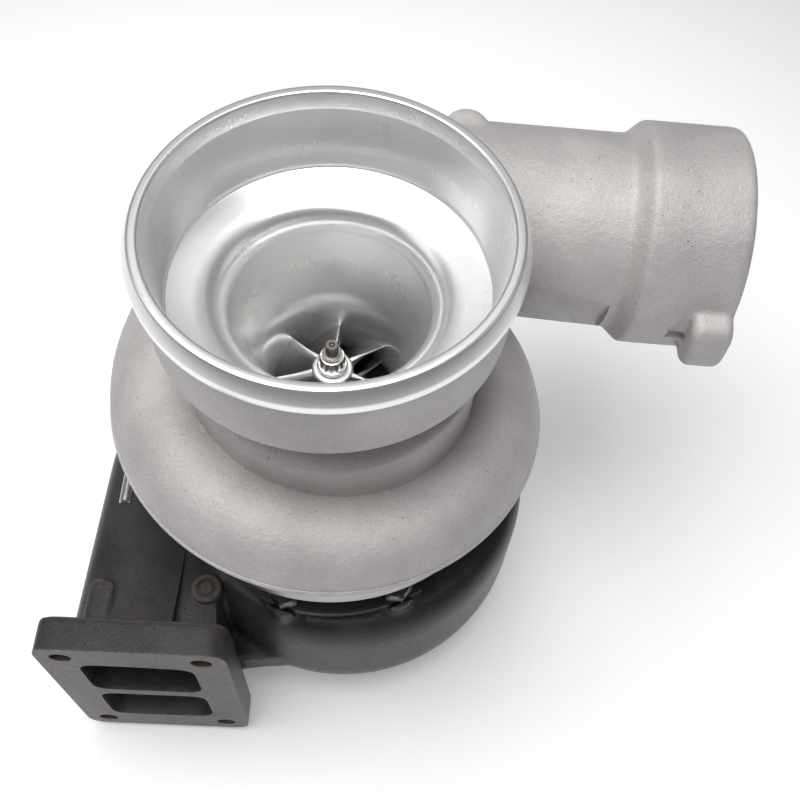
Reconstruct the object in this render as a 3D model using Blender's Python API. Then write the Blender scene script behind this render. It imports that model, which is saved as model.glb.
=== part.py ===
"""Turbocharger with a divided turbine inlet, built from its separate pieces.

Units are metres and +Z runs along the rotor axis towards the compressor inlet.
The origin is the centre of the turbine inlet flange's face, on its divider wall,
and the flange faces -Y. Every piece hangs on one empty, which stands on the rotor axis
at the height of the inlet flange's centre.
"""

import math

import bmesh
import bpy
import numpy as np
from mathutils import Matrix, Vector

MM = 0.001

# Gaps between pieces
SEAT_GAP = 0.3 * MM
RUN_GAP = 0.4 * MM
BOLT_GAP = 0.6 * MM

# Rotor axis, measured from the inlet flange's face centre
AXIS_X = 67.9 * MM
AXIS_Y = 89.2 * MM

# Turbine inlet flange and its two ports
FLANGE_BOLT_X = 50.8 * MM
FLANGE_BOLT_Z = 85.7 * MM
FLANGE_MARGIN = 9.4 * MM
FLANGE_THICKNESS = 12.7 * MM
FLANGE_CORNER = 8.0 * MM
FLANGE_HOLE_RADIUS = 3.95 * MM
NUT_ROOM = 40.0 * MM
PORT_WIDTH = 42.6 * MM
PORT_HEIGHT = 32.0 * MM
PORT_CORNER = 7.0 * MM
DIVIDER = 6.0 * MM
TURBINE_WALL = 6.0 * MM

# Turbine volute, which shrinks clockwise as seen from the compressor inlet
VOLUTE_SWEEP = math.radians(330.0)
VOLUTE_TONGUE = math.radians(20.0)
VOLUTE_START_HALF_HEIGHT = 33.0 * MM
VOLUTE_END_HALF_HEIGHT = 29.5 * MM
VOLUTE_END_RADIUS = 68.0 * MM
VOLUTE_EDGE = 17.0 * MM
VOLUTE_SHOULDER = 16.0 * MM
WEB_TOP_Z = -8.0 * MM
WEB_THICKNESS = 14.0 * MM
WEB_LAP = 1.5 * MM
WEB_OUTLINE = ((0.0, 3.5), (10.9, 6.0), (31.9, 8.5), (42.1, 32.9), (0.0, 37.4))
LEG_BOSS_RADIUS = 5.5 * MM
LEG_BOSS_SETBACK = 19.4 * MM
LEG_BOSS_TOP_Z = 34.0 * MM

# Turbine housing bores and outlet
DECK_Z = 28.0 * MM
SPIGOT_RADIUS = 41.0 * MM
SHELF_Z = 9.0 * MM
THROAT_HALF_WIDTH = 6.4 * MM
THROAT_DIVIDER = 3.0 * MM
OUTLET_FACE_Z = -57.0 * MM
OUTLET_FLANGE_RADIUS = 46.0 * MM
OUTLET_FLANGE_THICKNESS = 6.0 * MM
OUTLET_NECK_RADIUS = 39.0 * MM
OUTLET_BORE_RADIUS = 31.0 * MM

# Turbine wheel and shaft
TURBINE_BLADES = 10
TURBINE_TIP_RADIUS = 30.0 * MM
TURBINE_TIP_HALF_WIDTH = 6.0 * MM
TURBINE_EXIT_RADIUS = 26.0 * MM
TURBINE_EXIT_Z = -28.0 * MM
TURBINE_HUB_RADIUS = 8.0 * MM
TURBINE_BACK_Z = 8.0 * MM
TURBINE_EXIT_TURN = math.radians(38.0)
SEAL_HUB_RADIUS = 8.4 * MM
JOURNAL_RADIUS = 6.0 * MM
STUB_RADIUS = 3.2 * MM
STUB_TIP_RADIUS = 2.3 * MM
STUB_TIP_LENGTH = 5.0 * MM

# Bearing housing
BEARING_FLANGE_RADIUS = 57.0 * MM
BEARING_FLANGE_THICKNESS = 5.0 * MM
WAIST_RADIUS = 27.0 * MM
BEARING_BORE_RADIUS = 9.5 * MM
HEAD_FLANGE_RADIUS = 44.5 * MM
HEAD_FLANGE_THICKNESS = 6.5 * MM
OIL_PORT_Z = 45.5 * MM
OIL_PAD_HEIGHT = 22.0 * MM
INLET_PAD_WIDTH = 36.0 * MM
INLET_PAD_REACH = 40.0 * MM
INLET_HOLE_RADIUS = 3.5 * MM
INLET_BOLT_SPACING = 25.4 * MM
DRAIN_PAD_WIDTH = 50.0 * MM
DRAIN_PAD_REACH = 42.0 * MM
DRAIN_HOLE_RADIUS = 8.0 * MM
DRAIN_BOLT_SPACING = 38.1 * MM
PAD_HOLE_RADIUS = 3.3 * MM
PAD_HOLE_DEPTH = 12.0 * MM

# Journal bearings, retaining rings and thrust pieces
JOURNAL_LENGTH = 11.0 * MM
LOWER_JOURNAL_Z = 22.0 * MM
UPPER_JOURNAL_Z = 41.5 * MM
RING_THICKNESS = 1.0 * MM
RING_DEPTH = 0.9 * MM
RING_REACH = 1.8 * MM
THRUST_POCKET_RADIUS = 20.0 * MM
THRUST_WASHER_RADIUS = 12.0 * MM
THRUST_WASHER_THICKNESS = 3.0 * MM
THRUST_BEARING_THICKNESS = 3.6 * MM
FLINGER_DISC_THICKNESS = 1.8 * MM
FLINGER_NECK_RADIUS = 9.0 * MM
SEAL_PLATE_RADIUS = 23.0 * MM
SEAL_PLATE_THICKNESS = 1.1 * MM
PISTON_RING_THICKNESS = 1.5 * MM

# Heat shield
SHIELD_THICKNESS = 1.4 * MM
SHIELD_RIM_WIDTH = 6.5 * MM
SHIELD_RISE = 2.6 * MM

# Clamp plates and their bolts on the turbine housing
CLAMP_COUNT = 3
CLAMP_FIRST_ANGLE = math.radians(-84.0)
CLAMP_BOLT_ANGLE = math.radians(20.0)
CLAMP_END_ANGLE = math.radians(8.0)
CLAMP_BOLT_OFFSET = 4.5 * MM
CLAMP_EDGE = 5.0 * MM
CLAMP_LAP = 7.0 * MM
CLAMP_THICKNESS = 4.0 * MM
CLAMP_BOSS_RADIUS = 8.0 * MM
BOLT_SHANK_RADIUS = 3.3 * MM
BOLT_HEX_RADIUS = 6.4 * MM
BOLT_HEAD_HEIGHT = 5.0 * MM
BOLT_DEPTH = 16.0 * MM

# Compressor back plate and its bolts
JOINT_Z = 62.0 * MM
BACK_PLATE_RADIUS = 55.4 * MM
CLAMP_RIM_REACH = 12.1 * MM
CLAMP_RIM_THICKNESS = 3.6 * MM
HEAD_SEAT_Z = 68.0 * MM
HEAD_RECESS_GAP = 1.5 * MM
PLATE_BOLT_EDGE = 6.5 * MM
PLATE_BOLT_ANGLES = tuple(math.radians(a) for a in (30.0, 150.0, 210.0, 330.0))
PLATE_BOLT_HEX_RADIUS = 5.2 * MM
PLATE_BOLT_HEAD = 4.0 * MM
PLATE_BOLT_SHANK_RADIUS = 2.8 * MM
PLATE_BOLT_DEPTH = 5.5 * MM
SEAL_CORD_RADIUS = 1.3 * MM

# V-band clamp and its T-bolt
BAND_THICKNESS = 1.5 * MM
BAND_LIP = 3.6 * MM
BAND_OPENING = math.radians(13.0)
EAR_REACH = 11.5 * MM
EAR_LENGTH = 6.5 * MM
T_BOLT_RADIUS = 2.2 * MM
T_BOLT_FREE_END_Y = -36.0 * MM
T_BOLT_OFFSET = 6.3 * MM
T_HEAD_RADIUS = 3.4 * MM
BAND_NUT_HEX_RADIUS = 4.6 * MM
BAND_NUT_LENGTH = 5.0 * MM

# Compressor wheel
WHEEL_BLADES = 7
WHEEL_FIRST_ANGLE = math.radians(86.5)
INDUCER_RADIUS = 21.5 * MM
INDUCER_Z = 102.8 * MM
WHEEL_NOSE_Z = 107.0 * MM
WHEEL_NOSE_RADIUS = 7.35 * MM
EXDUCER_RADIUS = 31.5 * MM
EXDUCER_WIDTH = 4.8 * MM
WHEEL_RIM_THICKNESS = 2.4 * MM
WHEEL_WRAP = math.radians(62.0)
SPLITTER_START = 2
BLADE_SLANT = 1.3
BLADE_ROOT = 1.7 * MM
BLADE_TIP = 0.9 * MM
NUT_FLANGE_RADIUS = 5.5 * MM
NUT_FLANGE_HEIGHT = 1.6 * MM
NUT_RADIUS = 4.6 * MM
NUT_HEIGHT = 5.0 * MM
NUT_COLLAR_HEIGHT = 1.6 * MM

# Compressor housing: inlet bell, neck and contour
RIM_Z = 182.0 * MM
BELL_RADIUS = 59.4 * MM
BELL_FOOT_RADIUS = 57.4 * MM
BELL_DEPTH = 34.3 * MM
BAND_DEPTH = 7.0 * MM
RIM_LAND = 2.0 * MM
RIM_CHAMFER = 1.8 * MM
BELL_INSIDE_RADIUS = 55.3 * MM
FLOOR_RADIUS = 52.2 * MM
FLOOR_DEPTH = 30.3 * MM
FUNNEL_RADIUS = 32.8 * MM
FUNNEL_DEPTH = 41.5 * MM
THROAT_EDGE_RADIUS = 24.55 * MM
THROAT_EDGE_DEPTH = 61.6 * MM
NECK_RADIUS = 43.5 * MM
COLLAR_RADIUS = 51.1 * MM
COLLAR_DEPTH = 58.3 * MM

# Compressor scroll, which grows clockwise as seen from the inlet
SCROLL_FLOOR_Z = 68.9 * MM
SCROLL_START_RADIUS = 15.2 * MM
SCROLL_GROWTH = 16.1 * MM
SCROLL_OUTER_RADIUS = 76.8 * MM
SCROLL_SPREAD = 4.8 * MM
SCROLL_CLIMB = 8.0 * MM
SCROLL_WALL = 5.0 * MM
SCROLL_LEAD = 0.12
SCROLL_EASE = 0.53
SCROLL_END = 0.75
DRUM_WALL = 5.6 * MM

# Outlet duct: axis, sizes along it, and its bolt lugs
DUCT_TURN = math.radians(-2.4)
DUCT_OFFSET = 70.7 * MM
DUCT_Z = 111.2 * MM
DUCT_RADIUS = 37.0 * MM
DUCT_START_WALL = 8.5 * MM
DUCT_WALL = 5.5 * MM
FLAT_START = 66.0 * MM
FLAT_END = 99.0 * MM
FLAT_START_DEPTH = 31.7 * MM
FLAT_END_DEPTH = 34.4 * MM
FLAT_TILT = math.radians(19.8)
SOCKET_RADIUS = 42.3 * MM
SOCKET_START = 101.5 * MM
SOCKET_FLARE = 6.0 * MM
DUCT_END = 143.3 * MM
LUG_LENGTH = 15.8 * MM
LUG_REACH = 51.5 * MM
LUG_TOP = 7.0 * MM
LUG_BOTTOM = 18.0 * MM
LUG_CORNER = 10.0 * MM
LUG_HOLE_OUT = 42.5 * MM
LUG_HOLE_DROP = 7.7 * MM
LUG_HOLE_RADIUS = 3.2 * MM
PAD_BOSS_X = 44.6 * MM
PAD_BOSS_Y = 86.0 * MM
PAD_BOSS_Z = 145.0 * MM
PAD_BOSS_RADIUS = 7.8 * MM

# Facet counts
BIG_SEGMENTS = 32
MID_SEGMENTS = 24
SMALL_SEGMENTS = 14
BOLT_SEGMENTS = 8
SPIGOT_TURN = math.radians(1.7)

# Sizes that follow from the ones above
LEG_HALF_WIDTH = PORT_WIDTH / 2 + TURBINE_WALL
LEG_HALF_HEIGHT = DIVIDER / 2 + PORT_HEIGHT + TURBINE_WALL
VOLUTE_START_RADIUS = AXIS_X + LEG_HALF_WIDTH
NOSE_RADIUS = SPIGOT_RADIUS - SEAT_GAP
BEARING_SEAT_Z = DECK_Z + SEAT_GAP
BEARING_FLANGE_TOP_Z = BEARING_SEAT_Z + BEARING_FLANGE_THICKNESS
CLAMP_BOLT_CIRCLE = BEARING_FLANGE_RADIUS + CLAMP_BOLT_OFFSET
CLAMP_OUTER_RADIUS = CLAMP_BOLT_CIRCLE + CLAMP_EDGE
CLAMP_INNER_RADIUS = BEARING_FLANGE_RADIUS - CLAMP_LAP
CLAMP_Z = BEARING_FLANGE_TOP_Z + SEAT_GAP
CLAMP_TOP_Z = CLAMP_Z + CLAMP_THICKNESS
HEAD_TOP_Z = HEAD_SEAT_Z - SEAT_GAP
HEAD_RECESS_RADIUS = HEAD_FLANGE_RADIUS + HEAD_RECESS_GAP
PLATE_BOLT_CIRCLE = HEAD_FLANGE_RADIUS - PLATE_BOLT_EDGE
CLAMP_RIM_RADIUS = BACK_PLATE_RADIUS + CLAMP_RIM_REACH
SCROLL_DRUM_RADIUS = BACK_PLATE_RADIUS + DRUM_WALL
HEAD_FLANGE_Z = HEAD_TOP_Z - HEAD_FLANGE_THICKNESS
SHIELD_Z = SHELF_Z + SEAT_GAP
NOSE_Z = SHIELD_Z + SHIELD_THICKNESS + SEAT_GAP
SEAL_BORE_RADIUS = SEAL_HUB_RADIUS + RUN_GAP
WHEEL_RIM_Z = INDUCER_Z - 28.0 * MM
EXDUCER_FRONT_Z = WHEEL_RIM_Z + EXDUCER_WIDTH
DIFFUSER_FRONT_Z = EXDUCER_FRONT_Z + RUN_GAP
WHEEL_BACK_Z = WHEEL_RIM_Z - WHEEL_RIM_THICKNESS
WHEEL_POCKET_Z = WHEEL_BACK_Z - RUN_GAP
BACK_PLATE_TOP_Z = WHEEL_RIM_Z + RUN_GAP
STUB_BORE_RADIUS = STUB_RADIUS + SEAT_GAP
SEAL_PLATE_Z = HEAD_TOP_Z - SEAL_PLATE_THICKNESS
FLINGER_DISC_Z = SEAL_PLATE_Z - SEAT_GAP - RUN_GAP - FLINGER_DISC_THICKNESS
THRUST_BEARING_Z = FLINGER_DISC_Z - RUN_GAP - THRUST_BEARING_THICKNESS
THRUST_WASHER_Z = THRUST_BEARING_Z - RUN_GAP - THRUST_WASHER_THICKNESS
BAND_INSIDE_RADIUS = CLAMP_RIM_RADIUS + SEAT_GAP
BAND_OUTSIDE_RADIUS = BAND_INSIDE_RADIUS + BAND_THICKNESS
BAND_HALF_HEIGHT = CLAMP_RIM_THICKNESS + 1.5 * SEAT_GAP
BAND_MID_Z = JOINT_Z - SEAT_GAP / 2
T_BOLT_X = -(BAND_OUTSIDE_RADIUS + T_BOLT_OFFSET)

COLOURS = {
    "cast_aluminium": ((0.62, 0.60, 0.59), 0.62, 0.55),
    "wheel_aluminium": ((0.30, 0.30, 0.30), 0.35, 0.85),
    "cast_iron": ((0.075, 0.072, 0.070), 0.65, 0.45),
    "steel": ((0.55, 0.55, 0.55), 0.32, 0.95),
    "dark_steel": ((0.20, 0.20, 0.21), 0.40, 0.85),
    "bronze": ((0.55, 0.36, 0.16), 0.35, 0.90),
    "rubber": ((0.02, 0.02, 0.02), 0.70, 0.0),
}


def clear_scene():
    """Remove whatever the scene holds."""
    for old in list(bpy.data.objects):
        bpy.data.objects.remove(old, do_unlink=True)


def material(name):
    """The Principled material of this finish, made once."""
    found = bpy.data.materials.get(name)
    if found:
        return found
    colour, roughness, metallic = COLOURS[name]
    made = bpy.data.materials.new(name)
    made.use_nodes = True
    shader = made.node_tree.nodes["Principled BSDF"]
    shader.inputs["Base Color"].default_value = (*colour, 1.0)
    shader.inputs["Roughness"].default_value = roughness
    shader.inputs["Metallic"].default_value = metallic
    return made


def empty(name, location):
    """An empty that carries pieces, at a place on the part."""
    made = bpy.data.objects.new(name, None)
    made.location = location
    bpy.context.scene.collection.objects.link(made)
    return made


def mesh_of(points, faces):
    """A mesh with its doubles merged and its faces pointing out."""
    mesh = bpy.data.meshes.new("shape")
    mesh.from_pydata([tuple(map(float, p)) for p in points], [], faces)
    work = bmesh.new()
    work.from_mesh(mesh)
    bmesh.ops.remove_doubles(work, verts=work.verts, dist=1e-7)
    bmesh.ops.recalc_face_normals(work, faces=work.faces)
    work.to_mesh(mesh)
    work.free()
    return mesh


def lathe(profile, segments=BIG_SEGMENTS, start=0.0):
    """Turn a closed (radius, height) outline about Z. Points on the axis become poles."""
    count = len(profile)
    turns = start + np.linspace(0.0, 2 * math.pi, segments, endpoint=False)
    radius = np.array([p[0] for p in profile])
    height = np.array([p[1] for p in profile])
    x = np.cos(turns)[:, None] * radius
    y = np.sin(turns)[:, None] * radius
    z = np.broadcast_to(height, x.shape)
    points = np.stack([x, y, z], -1).reshape(-1, 3)
    faces = []
    for i in range(segments):
        this, other = i * count, (i + 1) % segments * count
        for j in range(count):
            k = (j + 1) % count
            corners = [this + j, other + j, other + k, this + k]
            if radius[j] == 0.0:
                corners.remove(other + j)
            if radius[k] == 0.0:
                corners.remove(other + k)
            if len(corners) > 2:
                faces.append(corners)
    return mesh_of(points, faces)


def loft(rings):
    """Skin a row of rings of equal count and close both ends."""
    rings = [np.asarray(ring) for ring in rings]
    count = len(rings[0])
    faces = []
    for i in range(len(rings) - 1):
        for j in range(count):
            k = (j + 1) % count
            faces.append([i * count + j, i * count + k, (i + 1) * count + k, (i + 1) * count + j])
    faces.append(list(range(count)))
    faces.append([(len(rings) - 1) * count + j for j in range(count)])
    return mesh_of(np.concatenate(rings), faces)


def prism(outline, low, high):
    """Extrude an (x, y) outline along Z between two heights."""
    flat = np.asarray(outline)
    return loft([np.column_stack([flat, np.full(len(flat), z)]) for z in (low, high)])


def circle(radius, segments, start=0.0):
    """Points of a circle about the origin in the XY plane."""
    turns = start + np.linspace(0.0, 2 * math.pi, segments, endpoint=False)
    return np.column_stack([radius * np.cos(turns), radius * np.sin(turns)])


def rod(radius, low, high, segments=BOLT_SEGMENTS):
    """A plain cylinder along Z."""
    return prism(circle(radius, segments), low, high)


def placed(mesh, location=(0.0, 0.0, 0.0), direction=(0.0, 0.0, 1.0), spin=0.0):
    """Turn a mesh about Z, point its Z along a direction, and move it."""
    aim = Vector((0.0, 0.0, 1.0)).rotation_difference(Vector(direction)).to_matrix().to_4x4()
    mesh.transform(Matrix.Translation(location) @ aim @ Matrix.Rotation(spin, 4, "Z"))
    return mesh


def rounded(corners, radii, steps=3):
    """An outline whose corners are replaced by curves that touch both edges.

    The steps are the points of each curve, as one number for all corners or one each. A
    corner with one point stays sharp.
    """
    corners = np.asarray(corners, float)
    steps = np.broadcast_to(steps, len(corners))
    before = np.roll(corners, 1, axis=0) - corners
    after = np.roll(corners, -1, axis=0) - corners
    points = []
    for corner, back, ahead, radius, count in zip(corners, before, after, radii, steps):
        if count == 1:
            points.append(corner)
            continue
        start = corner + back * min(0.49, radius / np.linalg.norm(back))
        end = corner + ahead * min(0.49, radius / np.linalg.norm(ahead))
        for t in np.linspace(0.0, 1.0, count):
            points.append((1 - t) ** 2 * start + 2 * t * (1 - t) * corner + t * t * end)
    return np.array(points)


def piece(name, mesh, finish, parent, smooth=32.0):
    """A named object with its finish, on its parent empty."""
    made = bpy.data.objects.new(name, mesh)
    made.parent = parent
    mesh.materials.clear()
    mesh.materials.append(material(finish))
    mesh.shade_smooth()
    mesh.set_sharp_from_angle(angle=math.radians(smooth))
    bpy.context.scene.collection.objects.link(made)
    return made


def combine(base, tools, operation):
    """Join tool meshes to a base mesh, or cut them from it, one after another."""
    target = bpy.data.objects.new("combined", base)
    bpy.context.scene.collection.objects.link(target)
    for tool in tools:
        other = bpy.data.objects.new("tool", tool)
        bpy.context.scene.collection.objects.link(other)
        step = target.modifiers.new("step", "BOOLEAN")
        step.operation = operation
        step.solver = "EXACT"
        step.use_self = True
        step.object = other
        graph = bpy.context.evaluated_depsgraph_get()
        result = bpy.data.meshes.new_from_object(target.evaluated_get(graph))
        target.modifiers.remove(step)
        target.data = result
        bpy.data.objects.remove(other, do_unlink=True)
    mesh = target.data
    bpy.data.objects.remove(target, do_unlink=True)
    return mesh


def joined(base, *tools):
    """The union of meshes."""
    return combine(base, tools, "UNION")


def cut(base, *tools):
    """A mesh less its cutters."""
    return combine(base, tools, "DIFFERENCE")


def bezier(controls, steps):
    """Points along a cubic curve through its first and last control."""
    a, b, c, d = (np.asarray(p, float) for p in controls)
    t = np.linspace(0.0, 1.0, steps)[:, None]
    return (1 - t) ** 3 * a + 3 * t * (1 - t) ** 2 * b + 3 * t * t * (1 - t) * c + t ** 3 * d


def polar(radius, angle, z):
    """A point at an angle about the rotor axis."""
    return (radius * math.cos(angle), radius * math.sin(angle), z)


def hexagon(radius, low, high):
    """A hexagonal prism along Z."""
    return prism(circle(radius, 6), low, high)


def bolt_mesh(shank_radius, depth, hex_radius, head_height):
    """A bolt whose head sits on z = 0 and whose shank runs down from it."""
    flats = circle(hex_radius, 6)
    shank = circle(shank_radius, 6)
    head = (flats * 0.88, head_height), (flats, head_height * 0.9), (flats, 0.0)
    levels = *head, (shank, 0.0), (shank, -depth)
    return loft([np.column_stack([ring, np.full(len(ring), z)]) for ring, z in levels])


# Turbine housing


def volute_size(share):
    """Outer radius and half height of the turbine volute, a share of the way round."""
    outer = VOLUTE_START_RADIUS + share * (VOLUTE_END_RADIUS - VOLUTE_START_RADIUS)
    half = VOLUTE_START_HALF_HEIGHT + share * (VOLUTE_END_HALF_HEIGHT - VOLUTE_START_HALF_HEIGHT)
    return outer, half


def volute_outline(inner, outer, half, shoulder):
    """Casting section with bevelled shoulders on its inner side."""
    knee = (inner + outer) / 2
    corners = [(inner, -shoulder), (knee, -half), (outer, -half), (outer, half), (knee, half),
               (inner, shoulder)]
    edge = min(VOLUTE_EDGE, half * 0.7)
    return rounded(corners, (edge / 4, edge / 2, edge, edge, edge / 2, edge / 4), (1, 3, 4, 4, 3, 1))


def passage_outline(inner, outer, top, shoulder, side):
    """One gas passage beside the divider, on side +1 above or -1 below it."""
    knee = (inner + outer) / 2
    low = DIVIDER / 2
    corners = [(inner, low), (outer, low), (outer, top), (knee, top), (inner, shoulder)]
    points = rounded(corners, [PORT_CORNER] * 5, (1, 2, 3, 3, 1))
    points[:, 1] *= side
    return points


def swept_ring(outline, angle):
    """Stand an (radius, height) outline up at an angle about the rotor axis."""
    return np.column_stack([outline[:, 0] * math.cos(angle), outline[:, 0] * math.sin(angle),
                            outline[:, 1]])


def leg_ring(outline, y):
    """Stand an outline up across the straight inlet leg, at a distance along Y."""
    return np.column_stack([-outline[:, 0], np.full(len(outline), y), outline[:, 1]])


def volute_casting(stations=19):
    """Outer skin of the inlet leg and the volute, as one loft."""
    inner = AXIS_X - LEG_HALF_WIDTH
    rings = []
    leg_start = -AXIS_Y + FLANGE_THICKNESS / 2
    for share in np.linspace(0.0, 1.0, 5)[:-1]:
        half = LEG_HALF_HEIGHT + share * (VOLUTE_START_HALF_HEIGHT - LEG_HALF_HEIGHT)
        shoulder = half - 2 * MM + share * (VOLUTE_SHOULDER - half + 2 * MM)
        outline = volute_outline(inner, VOLUTE_START_RADIUS, half, shoulder)
        rings.append(leg_ring(outline, leg_start * (1 - share)))
    for share in np.linspace(0.0, 1.0, stations):
        outer, half = volute_size(share)
        outline = volute_outline(inner, outer, half, VOLUTE_SHOULDER)
        rings.append(swept_ring(outline, math.pi - share * VOLUTE_SWEEP))
    return loft(rings)


def volute_passage(side, stations=14):
    """One gas passage from its port to the end of the volute."""
    inner = AXIS_X - PORT_WIDTH / 2
    rings = []
    for share in np.linspace(0.0, 1.0, 4)[:-1]:
        top = DIVIDER / 2 + PORT_HEIGHT + share * (VOLUTE_START_HALF_HEIGHT - LEG_HALF_HEIGHT)
        port_shoulder = top - MM
        shoulder = port_shoulder + share * (VOLUTE_SHOULDER - TURBINE_WALL - port_shoulder)
        outline = passage_outline(inner, inner + PORT_WIDTH, top, shoulder, side)
        rings.append(leg_ring(outline, -AXIS_Y * (1 - share) - (1 - share) * MM))
    for share in np.linspace(0.0, 1.0 - VOLUTE_TONGUE / VOLUTE_SWEEP, stations):
        outer, half = volute_size(share)
        top = half - TURBINE_WALL
        outline = passage_outline(inner, outer - TURBINE_WALL, top, VOLUTE_SHOULDER - TURBINE_WALL, side)
        rings.append(swept_ring(outline, math.pi - share * VOLUTE_SWEEP))
    return loft(rings)


def turbine_flange():
    """Inlet flange plate with rounded corners."""
    half_x = FLANGE_BOLT_X / 2 + FLANGE_MARGIN
    half_z = FLANGE_BOLT_Z / 2 + FLANGE_MARGIN
    outline = rounded([(-half_x, -half_z), (half_x, -half_z), (half_x, half_z), (-half_x, half_z)],
                      [FLANGE_CORNER] * 4, 4)
    plate = prism(outline, 0.0, FLANGE_THICKNESS)
    return placed(plate, (-AXIS_X, -AXIS_Y + FLANGE_THICKNESS, 0.0), (0.0, -1.0, 0.0))


def clamp_angles():
    """Angle of each clamp plate's middle."""
    return [CLAMP_FIRST_ANGLE + i * 2 * math.pi / CLAMP_COUNT for i in range(CLAMP_COUNT)]


def clamp_bolt_angles():
    """Angle of each clamp bolt."""
    return [mid + side * CLAMP_BOLT_ANGLE for mid in clamp_angles() for side in (-1, 1)]


def turbine_shroud(gap):
    """Curve of the turbine wheel's tips from inlet to exit, moved out by a gap."""
    tip = TURBINE_TIP_RADIUS + gap
    exit_radius = TURBINE_EXIT_RADIUS + gap
    low = -TURBINE_TIP_HALF_WIDTH - gap
    span = low - TURBINE_EXIT_Z
    return bezier([(tip, low), (exit_radius + (tip - exit_radius) / 4, low - span / 8),
                   (exit_radius, low - span / 3), (exit_radius, TURBINE_EXIT_Z)], 6)


def turbine_bore():
    """Everything turned out of the turbine housing.

    From the top down: the face for the clamp plates, the seat and spigot of the bearing
    housing, the heat shield's shelf, the wheel space with a feed slot from each passage,
    the shroud, and the outlet.
    """
    above = DECK_Z + 30 * MM
    face_z = BEARING_FLANGE_TOP_Z - SEAT_GAP / 3
    face_radius = CLAMP_OUTER_RADIUS + 1.5 * MM
    seat_radius = BEARING_FLANGE_RADIUS + SEAT_GAP
    lip = SPIGOT_RADIUS - 3 * MM
    chamber = TURBINE_TIP_RADIUS + 1.5 * MM
    slot = AXIS_X - PORT_WIDTH / 2 + 3 * MM
    near, far = THROAT_DIVIDER / 2, THROAT_HALF_WIDTH
    profile = [(0.0, above), (face_radius, above), (face_radius, face_z), (seat_radius, face_z),
               (seat_radius, DECK_Z), (SPIGOT_RADIUS, DECK_Z), (SPIGOT_RADIUS, SHELF_Z), (lip, SHELF_Z),
               (lip, far), (slot, far), (slot, near), (chamber, near), (chamber, -near), (slot, -near),
               (slot, -far)]
    profile += [tuple(p) for p in turbine_shroud(RUN_GAP)]
    profile += [(OUTLET_BORE_RADIUS, OUTLET_FACE_Z + OUTLET_FLANGE_THICKNESS),
                (OUTLET_BORE_RADIUS, OUTLET_FACE_Z - MM), (0.0, OUTLET_FACE_Z - MM)]
    return lathe(profile, MID_SEGMENTS, SPIGOT_TURN)


def leg_ribs():
    """Web between the leg and the volute, and the round boss on the leg's side."""
    leg_side = -AXIS_X + LEG_HALF_WIDTH
    flange_back = -AXIS_Y + FLANGE_THICKNESS
    outline = [(leg_side - WEB_LAP + x * MM, flange_back - MM + y * MM) for x, y in WEB_OUTLINE]
    web = prism(outline, WEB_TOP_Z - WEB_THICKNESS, WEB_TOP_Z)
    boss = placed(rod(LEG_BOSS_RADIUS, WEB_TOP_Z - WEB_THICKNESS + 2 * MM, LEG_BOSS_TOP_Z),
                  (leg_side - LEG_BOSS_RADIUS, flange_back + LEG_BOSS_SETBACK, 0.0))
    return web, boss


def turbine_housing(axis):
    """Cast iron housing with its divided volute, inlet flange, deck and outlet."""
    body = volute_casting()
    drum_radius = BEARING_FLANGE_RADIUS + 2.5 * MM
    drum_z = BEARING_FLANGE_TOP_Z + 3 * MM
    neck_z = OUTLET_FACE_Z + OUTLET_FLANGE_THICKNESS
    drum = lathe([(0.0, drum_z), (drum_radius, drum_z), (drum_radius, -VOLUTE_SHOULDER),
                  (OUTLET_NECK_RADIUS + 3 * MM, -VOLUTE_END_HALF_HEIGHT), (OUTLET_NECK_RADIUS, neck_z),
                  (OUTLET_FLANGE_RADIUS, neck_z - MM), (OUTLET_FLANGE_RADIUS, OUTLET_FACE_Z),
                  (0.0, OUTLET_FACE_Z)], MID_SEGMENTS, math.radians(0.9))
    bosses = [placed(rod(CLAMP_BOSS_RADIUS, 0.0, drum_z + MM),
                     polar(CLAMP_BOLT_CIRCLE, angle, 0.0)) for angle in clamp_bolt_angles()]
    body = joined(body, drum, turbine_flange(), *leg_ribs(), *bosses)
    holes = [placed(rod(FLANGE_HOLE_RADIUS, -MM, FLANGE_THICKNESS + NUT_ROOM, 12),
                    (-AXIS_X + sx * FLANGE_BOLT_X / 2, -AXIS_Y, sz * FLANGE_BOLT_Z / 2), (0.0, 1.0, 0.0))
             for sx in (-1, 1) for sz in (-1, 1)]
    taps = [placed(rod(BOLT_SHANK_RADIUS + SEAT_GAP, CLAMP_TOP_Z - BOLT_DEPTH - MM, CLAMP_TOP_Z),
                   polar(CLAMP_BOLT_CIRCLE, angle, 0.0)) for angle in clamp_bolt_angles()]
    body = cut(body, turbine_bore(), volute_passage(1), volute_passage(-1), *holes, *taps)
    return piece("turbine_housing", body, "cast_iron", axis, 40.0)


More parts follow.
